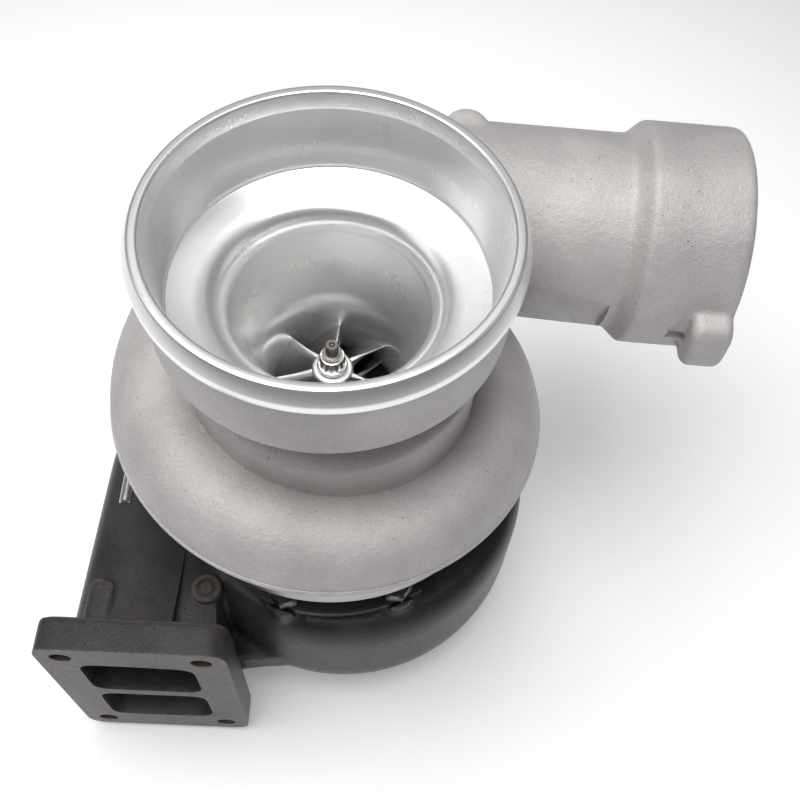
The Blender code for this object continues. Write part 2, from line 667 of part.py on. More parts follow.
def clamp_plates(axis):
    """Arc plates that hold the bearing housing down on the turbine housing."""
    for index, mid in enumerate(clamp_angles()):
        reach = CLAMP_BOLT_ANGLE + CLAMP_END_ANGLE
        turns = np.linspace(mid - reach, mid + reach, 7)
        inner = np.column_stack([np.cos(turns), np.sin(turns)]) * CLAMP_INNER_RADIUS
        outer = np.column_stack([np.cos(turns), np.sin(turns)]) * CLAMP_OUTER_RADIUS
        plate = prism(np.concatenate([inner, outer[::-1]]), CLAMP_Z, CLAMP_TOP_Z)
        holes = [placed(rod(BOLT_SHANK_RADIUS + BOLT_GAP, CLAMP_Z - MM, CLAMP_TOP_Z + MM),
                        polar(CLAMP_BOLT_CIRCLE, mid + side * CLAMP_BOLT_ANGLE, 0.0)) for side in (-1, 1)]
        piece(f"clamp_plate_{index + 1}", cut(plate, *holes), "dark_steel", axis)
    for index, angle in enumerate(clamp_bolt_angles()):
        bolt = bolt_mesh(BOLT_SHANK_RADIUS, BOLT_DEPTH, BOLT_HEX_RADIUS, BOLT_HEAD_HEIGHT)
        placed(bolt, polar(CLAMP_BOLT_CIRCLE, angle, CLAMP_TOP_Z + SEAT_GAP), spin=angle)
        piece(f"clamp_bolt_{index + 1}", bolt, "steel", axis)


# Bearing housing and what it holds


def oil_pad(width, reach, side):
    """Block that ends in a flat oil pad, on the +Y or -Y side."""
    outline = rounded([(-width / 2, -OIL_PAD_HEIGHT / 2), (width / 2, -OIL_PAD_HEIGHT / 2),
                       (width / 2, OIL_PAD_HEIGHT / 2), (-width / 2, OIL_PAD_HEIGHT / 2)],
                      [OIL_PAD_HEIGHT / 4] * 4)
    return placed(prism(outline, WAIST_RADIUS / 2, reach), (0.0, 0.0, OIL_PORT_Z), (0.0, side, 0.0))


def pad_holes(spacing, reach, side):
    """The two tapped holes of an oil pad."""
    return [placed(rod(PAD_HOLE_RADIUS, reach - PAD_HOLE_DEPTH, reach + MM),
                   (sx * spacing / 2, 0.0, OIL_PORT_Z), (0.0, side, 0.0)) for sx in (-1, 1)]


def ring_heights():
    """Underside of each retaining ring: below the lower journal and above the upper one."""
    return LOWER_JOURNAL_Z - RUN_GAP - RING_THICKNESS, UPPER_JOURNAL_Z + JOURNAL_LENGTH + RUN_GAP


def bearing_bore():
    """Everything turned out of the bearing housing: seal bore, journals and thrust pocket."""
    seal_top = LOWER_JOURNAL_Z - 3 * MM
    washer_space = THRUST_WASHER_RADIUS + 1 * MM
    washer_floor = THRUST_WASHER_Z - RUN_GAP
    plate_step = SEAL_PLATE_Z - SEAT_GAP
    profile = [(0.0, NOSE_Z - MM), (SEAL_BORE_RADIUS, NOSE_Z - MM), (SEAL_BORE_RADIUS, seal_top),
               (BEARING_BORE_RADIUS, seal_top)]
    for low in ring_heights():
        groove = BEARING_BORE_RADIUS + RING_DEPTH
        profile += [(BEARING_BORE_RADIUS, low - SEAT_GAP), (groove, low - SEAT_GAP),
                    (groove, low + RING_THICKNESS + SEAT_GAP),
                    (BEARING_BORE_RADIUS, low + RING_THICKNESS + SEAT_GAP)]
    profile += [(BEARING_BORE_RADIUS, washer_floor), (washer_space, washer_floor),
                (washer_space, THRUST_BEARING_Z - SEAT_GAP),
                (THRUST_POCKET_RADIUS, THRUST_BEARING_Z - SEAT_GAP),
                (THRUST_POCKET_RADIUS, plate_step), (SEAL_PLATE_RADIUS, plate_step),
                (SEAL_PLATE_RADIUS, HEAD_TOP_Z + MM), (0.0, HEAD_TOP_Z + MM)]
    return lathe(profile, SMALL_SEGMENTS, SPIGOT_TURN)


def bearing_housing(axis):
    """Cast iron centre housing with its oil inlet, oil drain and bearing bore."""
    fillet = 5 * MM
    dish = NOSE_Z + SHIELD_RISE + MM
    rim = NOSE_RADIUS - SHIELD_RIM_WIDTH
    seal_boss = SEAL_BORE_RADIUS + 4 * MM
    body = lathe([(0.0, NOSE_Z), (seal_boss, NOSE_Z), (seal_boss, dish), (rim - 2 * MM, dish),
                  (rim, NOSE_Z),
                  (NOSE_RADIUS, NOSE_Z),
                  (NOSE_RADIUS, BEARING_SEAT_Z), (BEARING_FLANGE_RADIUS, BEARING_SEAT_Z),
                  (BEARING_FLANGE_RADIUS, BEARING_FLANGE_TOP_Z),
                  (CLAMP_INNER_RADIUS - 2 * MM, BEARING_FLANGE_TOP_Z),
                  (WAIST_RADIUS + fillet, BEARING_FLANGE_TOP_Z + MM),
                  (WAIST_RADIUS, BEARING_FLANGE_TOP_Z + fillet),
                  (WAIST_RADIUS, HEAD_FLANGE_Z - fillet), (WAIST_RADIUS + fillet, HEAD_FLANGE_Z),
                  (HEAD_FLANGE_RADIUS, HEAD_FLANGE_Z), (HEAD_FLANGE_RADIUS, HEAD_TOP_Z),
                  (0.0, HEAD_TOP_Z)],
                 MID_SEGMENTS, SPIGOT_TURN)
    body = joined(body, oil_pad(INLET_PAD_WIDTH, INLET_PAD_REACH, 1),
                  oil_pad(DRAIN_PAD_WIDTH, DRAIN_PAD_REACH, -1))
    feed = placed(rod(INLET_HOLE_RADIUS, 0.0, INLET_PAD_REACH + MM), (0.0, 0.0, OIL_PORT_Z),
                  (0.0, 1.0, 0.0))
    drain = placed(rod(DRAIN_HOLE_RADIUS, 0.0, DRAIN_PAD_REACH + MM, 14), (0.0, 0.0, OIL_PORT_Z),
                   (0.0, -1.0, 0.0))
    plate_holes = [placed(rod(PLATE_BOLT_SHANK_RADIUS + BOLT_GAP, HEAD_FLANGE_Z - MM, HEAD_TOP_Z + MM),
                          polar(PLATE_BOLT_CIRCLE, angle, 0.0)) for angle in PLATE_BOLT_ANGLES]
    body = cut(body, bearing_bore(), feed, drain, *pad_holes(INLET_BOLT_SPACING, INLET_PAD_REACH, 1),
               *pad_holes(DRAIN_BOLT_SPACING, DRAIN_PAD_REACH, -1), *plate_holes)
    return piece("bearing_housing", body, "cast_iron", axis, 40.0)


def washer(inner, outer, low, high, segments=SMALL_SEGMENTS):
    """A plain ring about Z."""
    return lathe([(inner, low), (outer, low), (outer, high), (inner, high)], segments)


def bearing_pieces(axis):
    """Journal bearings, retaining rings, thrust bearing and seal plate."""
    journals = ("turbine_journal_bearing", LOWER_JOURNAL_Z), ("compressor_journal_bearing",
                                                              UPPER_JOURNAL_Z)
    for name, low in journals:
        ring = washer(JOURNAL_RADIUS + SEAT_GAP, BEARING_BORE_RADIUS - SEAT_GAP, low,
                      low + JOURNAL_LENGTH)
        holes = [placed(rod(1.2 * MM, 0.0, BEARING_BORE_RADIUS + MM, 6),
                        (0.0, 0.0, low + JOURNAL_LENGTH / 2), polar(1.0, turn, 0.0))
                 for turn in np.linspace(0.0, 2 * math.pi, 4, endpoint=False) + 0.2]
        piece(name, cut(ring, *holes), "bronze", axis)
    for index, low in enumerate(ring_heights()):
        outer = BEARING_BORE_RADIUS + RING_DEPTH - SEAT_GAP
        ring = washer(BEARING_BORE_RADIUS - RING_REACH, outer, low, low + RING_THICKNESS)
        piece(f"retaining_ring_{index + 1}", ring, "dark_steel", axis)
    spacer = washer(BEARING_BORE_RADIUS - RING_REACH, BEARING_BORE_RADIUS - SEAT_GAP,
                    LOWER_JOURNAL_Z + JOURNAL_LENGTH + RUN_GAP, UPPER_JOURNAL_Z - RUN_GAP)
    piece("journal_spacer", spacer, "steel", axis)
    thrust = washer(JOURNAL_RADIUS + RUN_GAP, THRUST_POCKET_RADIUS - SEAT_GAP, THRUST_BEARING_Z,
                    THRUST_BEARING_Z + THRUST_BEARING_THICKNESS)
    piece("thrust_bearing", thrust, "bronze", axis)
    plate = washer(FLINGER_NECK_RADIUS + RUN_GAP, SEAL_PLATE_RADIUS - SEAT_GAP, SEAL_PLATE_Z,
                   SEAL_PLATE_Z + SEAL_PLATE_THICKNESS)
    piece("oil_seal_plate", plate, "dark_steel", axis)


def heat_shield(axis):
    """Dished plate between the bearing housing's nose and the turbine wheel."""
    rim = NOSE_RADIUS - SHIELD_RIM_WIDTH
    inner = SEAL_BORE_RADIUS + 4 * MM + SEAT_GAP
    low, high = SHIELD_Z, SHIELD_Z + SHIELD_THICKNESS
    shell = lathe([(inner, low + SHIELD_RISE), (rim - 2 * MM, low + SHIELD_RISE), (rim, low),
                   (NOSE_RADIUS, low),
                   (NOSE_RADIUS, high), (rim, high), (rim - 2 * MM, high + SHIELD_RISE),
                   (inner, high + SHIELD_RISE)], MID_SEGMENTS, SPIGOT_TURN)
    piece("heat_shield", shell, "dark_steel", axis)


# Back plate and V-band clamp


def back_plate(axis):
    """Plate behind the compressor wheel, clamped to the housing by its rim."""
    pocket = EXDUCER_RADIUS + RUN_GAP
    bore = FLINGER_NECK_RADIUS + RUN_GAP
    low = JOINT_Z - SEAT_GAP - CLAMP_RIM_THICKNESS
    groove = SEAL_CORD_RADIUS + SEAT_GAP
    groove_floor = BACK_PLATE_RADIUS - 2 * SEAL_CORD_RADIUS - SEAT_GAP
    groove_z = (JOINT_Z + BACK_PLATE_TOP_Z) / 2
    plate = lathe([(bore, HEAD_SEAT_Z), (HEAD_RECESS_RADIUS, HEAD_SEAT_Z), (HEAD_RECESS_RADIUS, low),
                   (CLAMP_RIM_RADIUS, low), (CLAMP_RIM_RADIUS, JOINT_Z - SEAT_GAP),
                   (BACK_PLATE_RADIUS, JOINT_Z - SEAT_GAP), (BACK_PLATE_RADIUS, groove_z - groove),
                   (groove_floor, groove_z - groove), (groove_floor, groove_z + groove),
                   (BACK_PLATE_RADIUS, groove_z + groove), (BACK_PLATE_RADIUS, BACK_PLATE_TOP_Z),
                   (pocket, BACK_PLATE_TOP_Z), (pocket, WHEEL_POCKET_Z), (bore, WHEEL_POCKET_Z)])
    taps = [placed(rod(PLATE_BOLT_SHANK_RADIUS + SEAT_GAP, HEAD_SEAT_Z - MM,
                       HEAD_SEAT_Z + PLATE_BOLT_DEPTH - MM),
                   polar(PLATE_BOLT_CIRCLE, angle, 0.0)) for angle in PLATE_BOLT_ANGLES]
    piece("compressor_back_plate", cut(plate, *taps), "cast_aluminium", axis)
    seal = [(BACK_PLATE_RADIUS - SEAL_CORD_RADIUS + x, groove_z + z) for x,
            z in circle(SEAL_CORD_RADIUS, 5)]
    piece("back_plate_seal_ring", lathe(seal), "rubber", axis)
    for index, angle in enumerate(PLATE_BOLT_ANGLES):
        reach = HEAD_FLANGE_THICKNESS + SEAT_GAP + PLATE_BOLT_DEPTH - 2 * MM
        bolt = bolt_mesh(PLATE_BOLT_SHANK_RADIUS, reach, PLATE_BOLT_HEX_RADIUS, PLATE_BOLT_HEAD)
        placed(bolt, polar(PLATE_BOLT_CIRCLE, angle, HEAD_FLANGE_Z - SEAT_GAP), (0.0, 0.0, -1.0))
        piece(f"back_plate_bolt_{index + 1}", bolt, "steel", axis)


def v_band(axis):
    """Split clamp band with an ear at each end, its T-bolt and its nut."""
    inside, outside = BAND_INSIDE_RADIUS, BAND_OUTSIDE_RADIUS
    near, far = BAND_HALF_HEIGHT, BAND_HALF_HEIGHT + BAND_THICKNESS
    lip = CLAMP_RIM_RADIUS - BAND_LIP
    section = np.array([(lip, -far), (outside, -far), (outside, far), (lip, far), (lip, near),
                        (inside, near),
                        (inside, -near), (lip, -near)])
    section[:, 1] += BAND_MID_Z
    last = math.pi - BAND_OPENING / 2
    turns = np.linspace(-math.pi, math.pi, BIG_SEGMENTS + 1).clip(-last, last)
    band = loft([swept_ring(section, turn) for turn in turns])
    ears = []
    first = BAND_OUTSIDE_RADIUS * math.sin(BAND_OPENING / 2)
    for side in (-1, 1):
        outline = rounded([(-outside - EAR_REACH, -far), (-outside + BAND_THICKNESS / 2, -far),
                           (-outside + BAND_THICKNESS / 2, far), (-outside - EAR_REACH, far)],
                          (far * 0.9, MM / 2, MM / 2, far * 0.9))
        low, high = sorted((side * first, side * (first + EAR_LENGTH)))
        block = np.column_stack([outline[:, 0], np.zeros(len(outline)), outline[:, 1] + BAND_MID_Z])
        ears.append(loft([block + (0.0, low, 0.0), block + (0.0, high, 0.0)]))
    hole = placed(rod(T_BOLT_RADIUS + SEAT_GAP, -40 * MM, 40 * MM), (T_BOLT_X, 0.0, BAND_MID_Z),
                  (0.0, 1.0, 0.0))
    piece("v_band_clamp", cut(joined(band, *ears), hole), "steel", axis)
    back = first + EAR_LENGTH + SEAT_GAP
    stem = placed(rod(T_BOLT_RADIUS, T_BOLT_FREE_END_Y, back + T_HEAD_RADIUS), direction=(0.0, 1.0, 0.0))
    head = placed(rod(T_HEAD_RADIUS, -BAND_HALF_HEIGHT, BAND_HALF_HEIGHT),
                  (0.0, back + T_HEAD_RADIUS, 0.0))
    t_bolt = placed(joined(stem, head), (T_BOLT_X, 0.0, BAND_MID_Z))
    piece("t_bolt", t_bolt, "steel", axis)
    nut = cut(hexagon(BAND_NUT_HEX_RADIUS, back, back + BAND_NUT_LENGTH),
              rod(T_BOLT_RADIUS + SEAT_GAP, back - MM, back + BAND_NUT_LENGTH + MM))
    piece("t_bolt_nut", placed(nut, (T_BOLT_X, 0.0, BAND_MID_Z), (0.0, -1.0, 0.0)), "steel", axis)


# Compressor housing


def shroud_curve(gap, steps=6):
    """Curve of the compressor wheel's blade tips from inducer to exducer, moved out by a gap."""
    inlet = INDUCER_RADIUS + gap
    drop = INDUCER_Z - EXDUCER_FRONT_Z
    spread = EXDUCER_RADIUS - INDUCER_RADIUS
    front = EXDUCER_FRONT_Z + gap
    return bezier([(inlet, INDUCER_Z), (inlet, INDUCER_Z - 0.5 * drop),
                   (inlet + 0.15 * spread, front + 0.08 * drop),
                   (EXDUCER_RADIUS + gap, front)], steps)


def inlet_core():
    """Everything turned out of the compressor housing, from the rim to the joint."""
    top = RIM_Z + MM
    step_z = RIM_Z - FLOOR_DEPTH
    funnel_z = RIM_Z - FUNNEL_DEPTH
    shelf = FUNNEL_RADIUS + 0.58 * (FLOOR_RADIUS - FUNNEL_RADIUS)
    lip = bezier([(shelf, step_z - MM), (FUNNEL_RADIUS + 5 * MM, step_z - 1.6 * MM),
                  (FUNNEL_RADIUS + 1.5 * MM, step_z - 4 * MM), (FUNNEL_RADIUS, funnel_z)], 4)
    profile = [(0.0, top), (BELL_INSIDE_RADIUS, top), (BELL_INSIDE_RADIUS, RIM_Z - MM / 2),
               (BELL_INSIDE_RADIUS - 1.4 * MM, RIM_Z - 5 * MM),
               (FLOOR_RADIUS + 0.6 * MM, step_z + 1.5 * MM),
               (FLOOR_RADIUS, step_z)]
    profile += [tuple(p) for p in lip]
    profile += [(THROAT_EDGE_RADIUS, RIM_Z - THROAT_EDGE_DEPTH)]
    profile += [tuple(p) for p in shroud_curve(RUN_GAP)]
    bore = BACK_PLATE_RADIUS + SEAT_GAP
    profile += [(bore, DIFFUSER_FRONT_Z), (bore, JOINT_Z - MM), (0.0, JOINT_Z - MM)]
    return lathe(profile)


def inlet_casting():
    """Outside of the bell, neck, collar, drum and clamp rim, turned as one."""
    foot_z = RIM_Z - BELL_DEPTH
    band_z = RIM_Z - BAND_DEPTH
    collar_z = RIM_Z - COLLAR_DEPTH
    drum_z = SCROLL_FLOOR_Z + SCROLL_START_RADIUS
    rim_top = JOINT_Z + CLAMP_RIM_THICKNESS
    return lathe([(0.0, RIM_Z), (BELL_INSIDE_RADIUS + RIM_LAND, RIM_Z),
                  (BELL_RADIUS, RIM_Z - RIM_CHAMFER),
                  (BELL_RADIUS, band_z), (BELL_RADIUS - 0.3 * MM, band_z - 0.5 * MM),
                  (BELL_FOOT_RADIUS, foot_z + 3 * MM), (BELL_FOOT_RADIUS - 2.5 * MM, foot_z),
                  (NECK_RADIUS + 4 * MM, foot_z - 2 * MM), (NECK_RADIUS, foot_z - 6 * MM),
                  (NECK_RADIUS, collar_z + 4 * MM), (COLLAR_RADIUS - 1.5 * MM, collar_z + MM),
                  (COLLAR_RADIUS, collar_z - MM), (COLLAR_RADIUS, drum_z),
                  (SCROLL_DRUM_RADIUS, drum_z - 3 * MM),
                  (SCROLL_DRUM_RADIUS, rim_top), (CLAMP_RIM_RADIUS, rim_top), (CLAMP_RIM_RADIUS, JOINT_Z),
                  (0.0, JOINT_Z)])


def scroll_station(turn):
    """Centre and radius of the scroll's section, a share of a turn past its tongue.

    The section grows evenly while its floor climbs a little. Near the end it eases over to
    the outlet duct's axis and radius.
    """
    radius = SCROLL_START_RADIUS + SCROLL_GROWTH * turn
    middle = SCROLL_OUTER_RADIUS + SCROLL_SPREAD * turn - radius
    height = SCROLL_FLOOR_Z + radius + SCROLL_CLIMB * turn
    ease = min(1.0, max(0.0, (turn - SCROLL_EASE) / (SCROLL_END - SCROLL_EASE)))
    ease = ease * ease * (3 - 2 * ease)
    radius += ease * (DUCT_RADIUS - radius)
    middle += ease * (DUCT_OFFSET - middle)
    height += ease * (DUCT_Z - height)
    return middle, height, radius, ease


def scroll_rings(first, wall, last_wall, sides, stations):
    """Rings of the scroll, shrunk by a wall, from a first turn to where the duct begins.

    The wall goes over to its last thickness as the section eases over to the duct.
    """
    around = np.linspace(0.0, 2 * math.pi, sides, endpoint=False)
    rings = []
    for turn in np.linspace(first, SCROLL_END, stations):
        middle, height, radius, ease = scroll_station(turn)
        inside = radius - wall - ease * (last_wall - wall)
        reach = middle + inside * np.cos(around)
        angle = -2 * math.pi * turn + DUCT_TURN * max(0.0, turn) / SCROLL_END
        rings.append(np.column_stack([reach * math.cos(angle), reach * math.sin(angle),
                                      height + inside * np.sin(around)]))
    return rings


def duct_ring(along, radius, sides):
    """Ring square to the duct's axis, at a distance along it."""
    around = np.linspace(0.0, 2 * math.pi, sides, endpoint=False)
    out = radius * np.cos(around) + DUCT_OFFSET
    heading = np.array([math.cos(DUCT_TURN), math.sin(DUCT_TURN), 0.0])
    side = np.array([-math.sin(DUCT_TURN), math.cos(DUCT_TURN), 0.0])
    up = np.array([0.0, 0.0, 1.0])
    return along * heading + out[:, None] * side + (DUCT_Z + radius * np.sin(around))[:, None] * up


def scroll_casting(sides=18, stations=25):
    """Outside of the scroll and outlet duct as one loft."""
    rings = scroll_rings(-SCROLL_LEAD, 0.0, 0.0, sides, stations)
    flare_end = SOCKET_START + SOCKET_FLARE
    for along, radius in ((SOCKET_START, DUCT_RADIUS), (flare_end, SOCKET_RADIUS),
                          (DUCT_END - 2 * MM, SOCKET_RADIUS),
                          (DUCT_END, SOCKET_RADIUS - 2 * MM)):
        rings.append(duct_ring(along, radius, sides))
    return loft(rings)


def scroll_passage(sides=12, stations=17):
    """Air passage of the scroll and the widening duct as one loft, open at the outlet."""
    rings = scroll_rings(0.0, SCROLL_WALL, DUCT_START_WALL, sides, stations)
    rings.append(duct_ring(SOCKET_START, DUCT_RADIUS - DUCT_WALL, sides))
    rings.append(duct_ring(DUCT_END + MM, SOCKET_RADIUS - DUCT_WALL, sides))
    return loft(rings)


def duct_point(along, out, up):
    """Points at a distance along the duct, out from the rotor's side of its axis, and up."""
    heading = np.array([math.cos(DUCT_TURN), math.sin(DUCT_TURN), 0.0])
    across = np.array([-math.sin(DUCT_TURN), math.cos(DUCT_TURN), 0.0])
    return along * heading + (DUCT_OFFSET + out) * across + np.array([0.0, 0.0, DUCT_Z + up])


def duct_flat():
    """Cutter for the flat on the duct's lower front, which rises a little along the duct."""
    facing = np.array([-math.cos(FLAT_TILT), -math.sin(FLAT_TILT)])
    along_face = np.array([-facing[1], facing[0]])
    rings = []
    for along, depth in ((FLAT_START, FLAT_START_DEPTH), (FLAT_END, FLAT_END_DEPTH)):
        across = math.sqrt(DUCT_RADIUS ** 2 - depth ** 2) + MM / 2
        corners = [depth * facing - across * along_face, depth * facing + across * along_face,
                   (DUCT_RADIUS + MM) * facing + across * along_face,
                   (DUCT_RADIUS + MM) * facing - across * along_face]
        rings.append([duct_point(along, out, up) for out, up in corners])
    return loft(rings)


def outlet_lug(side):
    """Round-nosed bolt lug beside the outlet's socket, on its front or back."""
    inside = SOCKET_RADIUS - DUCT_WALL / 2
    root = inside * 0.8
    outline = rounded([(root, LUG_TOP), (LUG_REACH, LUG_TOP), (LUG_REACH, -LUG_BOTTOM),
                       (root, -LUG_BOTTOM)],
                      (MM, LUG_CORNER, LUG_CORNER, MM), 5)
    heading = np.array([math.cos(DUCT_TURN), math.sin(DUCT_TURN), 0.0])
    across = np.array([-math.sin(DUCT_TURN), math.cos(DUCT_TURN), 0.0])
    centre = DUCT_OFFSET * across + np.array([0.0, 0.0, DUCT_Z])
    flat = centre + side * outline[:, :1] * across + outline[:, 1:] * np.array([0.0, 0.0, 1.0])
    return loft([flat + (DUCT_END - LUG_LENGTH) * heading, flat + (DUCT_END - MM / 2) * heading])


def lug_hole(side):
    """Bolt hole through a lug, along the duct."""
    heading = Vector((math.cos(DUCT_TURN), math.sin(DUCT_TURN), 0.0))
    across = Vector((-math.sin(DUCT_TURN), math.cos(DUCT_TURN), 0.0))
    out = DUCT_OFFSET + side * LUG_HOLE_OUT
    middle = across * out + Vector((0.0, 0.0, DUCT_Z - LUG_HOLE_DROP))
    return placed(rod(LUG_HOLE_RADIUS, DUCT_END - LUG_LENGTH - 5 * MM, DUCT_END + MM), middle, heading)


def compressor_housing(axis):
    """Cast aluminium housing with its inlet bell, scroll and outlet duct."""
    pad = placed(rod(PAD_BOSS_RADIUS, DUCT_Z - 5 * MM, PAD_BOSS_Z, 14), (PAD_BOSS_X, PAD_BOSS_Y, 0.0))
    body = joined(scroll_casting(), inlet_casting(), pad, outlet_lug(-1), outlet_lug(1))
    body = cut(body, inlet_core(), scroll_passage(), duct_flat(), lug_hole(-1), lug_hole(1))
    return piece("compressor_housing", body, "cast_aluminium", axis, 40.0)


# Rotor


def wheel_ring(hub, tip, base, up, root, edge):
    """One ring round a bladed wheel: five points to a blade.

    A blade takes two points on the hub and two at its tip, and the fifth lies on the hub
    halfway to the next blade. A blade that isn't up has its tip points on the hub.
    """
    reach = np.where(up[:, None], tip, hub)
    foot = BLADE_SLANT * root / 2 / hub[0] * np.ones(len(base))
    crown = np.where(up, BLADE_SLANT * edge / 2 / reach[:, 0], foot)
    gap = math.pi / len(base)
    angle = np.stack([base - foot, base - crown, base + crown, base + foot, base + gap], 1)
    low = np.tile(hub, (len(base), 1))
    place = np.stack([low, reach, reach, low, low], 1)
    x = place[..., 0] * np.cos(angle)
    y = place[..., 0] * np.sin(angle)
    return np.stack([x, y, place[..., 1]], -1).reshape(-1, 3)


def bladed_rings(hub, tip, turns, starts, first, root, edge):
    """Rings of a wheel along its hub line, each turned by its share of the blades' wrap.

    Where a blade starts or stops, two rings lie at one place, without it and with it.
    """
    bases = first + np.arange(len(starts)) * 2 * math.pi / len(starts)
    rings = []
    for i in range(len(hub)):
        for up in (starts < i, starts <= i):
            rings.append(wheel_ring(hub[i], tip[i], bases + turns[i], up, root, edge))
    rings.append(wheel_ring(hub[-1], tip[-1], bases + turns[-1], starts < 0, root, edge))
    return rings


def plain_ring(radius, z, turn, starts, first):
    """A ring round a wheel without blades, with the same count of points."""
    bases = first + turn + np.arange(len(starts)) * 2 * math.pi / len(starts)
    here = np.array([radius, z])
    return wheel_ring(here, here, bases, starts < 0, BLADE_ROOT, BLADE_TIP)


def wheel_skin(rings, shift=None):
    """Skin a wheel's rings, with each blade's two sides split along matching diagonals.

    With a shift the skin closes on itself: the last ring meets the first, moved on by that
    many points. Without one both ends are capped.
    """
    count = len(rings[0])
    links = [(i, i + 1, 0) for i in range(len(rings) - 1)]
    if shift is not None:
        links.append((len(rings) - 1, 0, shift))
    faces = []
    for this, other, step in links:
        for j in range(count):
            m = (j + 1) % count
            a, b = this * count + j, this * count + m
            c, d = other * count + (m + step) % count, other * count + (j + step) % count
            faces += [[a, b, d], [b, c, d]] if j % 5 == 2 else [[a, b, c], [a, c, d]]
    if shift is None:
        faces.append(list(range(count)))
        faces.append([(len(rings) - 1) * count + j for j in range(count)])
    return mesh_of(np.concatenate(rings), faces)


def wheel_hub_curve(steps):
    """Hub line of the compressor wheel from its nose to its rim."""
    low = WHEEL_RIM_Z
    drop = INDUCER_Z - low
    return bezier([(WHEEL_NOSE_RADIUS, INDUCER_Z + 2.5 * MM), (WHEEL_NOSE_RADIUS + MM, low + 0.42 * drop),
                   (EXDUCER_RADIUS * 0.52, low + 0.06 * drop), (EXDUCER_RADIUS, low)], steps)


def compressor_wheel(axis):
    """Wheel with full and splitter blades, turned back against its rotation."""
    share = np.linspace(0.0, 1.0, 8)
    starts = np.tile((0, SPLITTER_START), WHEEL_BLADES)
    turns = WHEEL_WRAP * (1.8 * share - 1.3 * share ** 2 + 0.5 * share ** 3)
    hub, tip = wheel_hub_curve(len(share)), shroud_curve(0.0, len(share))
    rings = bladed_rings(hub, tip, turns, starts, WHEEL_FIRST_ANGLE, BLADE_ROOT, BLADE_TIP)
    pair = 2 * math.pi / WHEEL_BLADES
    skipped = round(WHEEL_WRAP / pair)
    rest = WHEEL_WRAP - skipped * pair
    close = [(EXDUCER_RADIUS, WHEEL_BACK_Z, rest), (STUB_BORE_RADIUS, WHEEL_BACK_Z, rest / 2),
             (STUB_BORE_RADIUS, WHEEL_NOSE_Z, 0.0), (WHEEL_NOSE_RADIUS - MM, WHEEL_NOSE_Z, 0.0),
             (WHEEL_NOSE_RADIUS, WHEEL_NOSE_Z - MM, 0.0)]
    for radius, z, turn in close:
        rings.append(np.roll(plain_ring(radius, z, turn, starts, WHEEL_FIRST_ANGLE), -10 * skipped,
                             axis=0))
    piece("compressor_wheel", wheel_skin(rings, 10 * skipped), "wheel_aluminium", axis, 30.0)


def turbine_wheel(axis):
    """Turbine wheel and shaft, welded into one piece."""
    washer_seat = THRUST_WASHER_Z - SEAT_GAP
    nut_top = WHEEL_NOSE_Z + SEAT_GAP + NUT_FLANGE_HEIGHT + NUT_HEIGHT + NUT_COLLAR_HEIGHT
    ring_z = (NOSE_Z + LOWER_JOURNAL_Z - 3 * MM) / 2
    ring_half = PISTON_RING_THICKNESS / 2
    groove = SEAL_HUB_RADIUS - 1.5 * MM
    hub_top = LOWER_JOURNAL_Z - 2 * RING_THICKNESS - RUN_GAP - MM
    shaft = lathe([(0.0, nut_top + STUB_TIP_LENGTH), (STUB_TIP_RADIUS, nut_top + STUB_TIP_LENGTH),
                   (STUB_TIP_RADIUS, nut_top), (STUB_RADIUS, nut_top), (STUB_RADIUS, washer_seat),
                   (JOURNAL_RADIUS, washer_seat), (JOURNAL_RADIUS, hub_top), (SEAL_HUB_RADIUS, hub_top),
                   (SEAL_HUB_RADIUS, ring_z + ring_half + SEAT_GAP),
                   (groove, ring_z + ring_half + SEAT_GAP),
                   (groove, ring_z - ring_half - SEAT_GAP),
                   (SEAL_HUB_RADIUS, ring_z - ring_half - SEAT_GAP),
                   (SEAL_HUB_RADIUS, TURBINE_BACK_Z - 3 * MM), (0.0, TURBINE_BACK_Z - 3 * MM)],
                   SMALL_SEGMENTS)
    hub_curve = bezier([(TURBINE_TIP_RADIUS - MM / 2, TURBINE_TIP_HALF_WIDTH),
                        (TURBINE_HUB_RADIUS + 9 * MM, 2 * MM),
                        (TURBINE_HUB_RADIUS + MM, TURBINE_EXIT_Z / 2),
                        (TURBINE_HUB_RADIUS, TURBINE_EXIT_Z)], 6)
    starts = np.zeros(TURBINE_BLADES, int)
    turns = TURBINE_EXIT_TURN * np.linspace(0.0, 1.0, len(hub_curve)) ** 2.2
    rings = [plain_ring(0.4 * TURBINE_TIP_RADIUS, TURBINE_BACK_Z, 0.0, starts, 0.0),
             plain_ring(TURBINE_TIP_RADIUS - MM / 2, TURBINE_BACK_Z - MM, 0.0, starts, 0.0)]
    rings += bladed_rings(hub_curve, turbine_shroud(0.0), turns, starts, 0.0, 2.2 * MM, 1.2 * MM)
    rings.append(plain_ring(TURBINE_HUB_RADIUS * 0.6, TURBINE_EXIT_Z - 4 * MM, TURBINE_EXIT_TURN, starts,
                            0.0))
    piece("turbine_wheel_and_shaft", joined(wheel_skin(rings), shaft), "dark_steel", axis, 30.0)
    ring = washer(groove + SEAT_GAP, SEAL_BORE_RADIUS - SEAT_GAP, ring_z - ring_half, ring_z + ring_half)
    piece("turbine_piston_ring", ring, "dark_steel", axis)


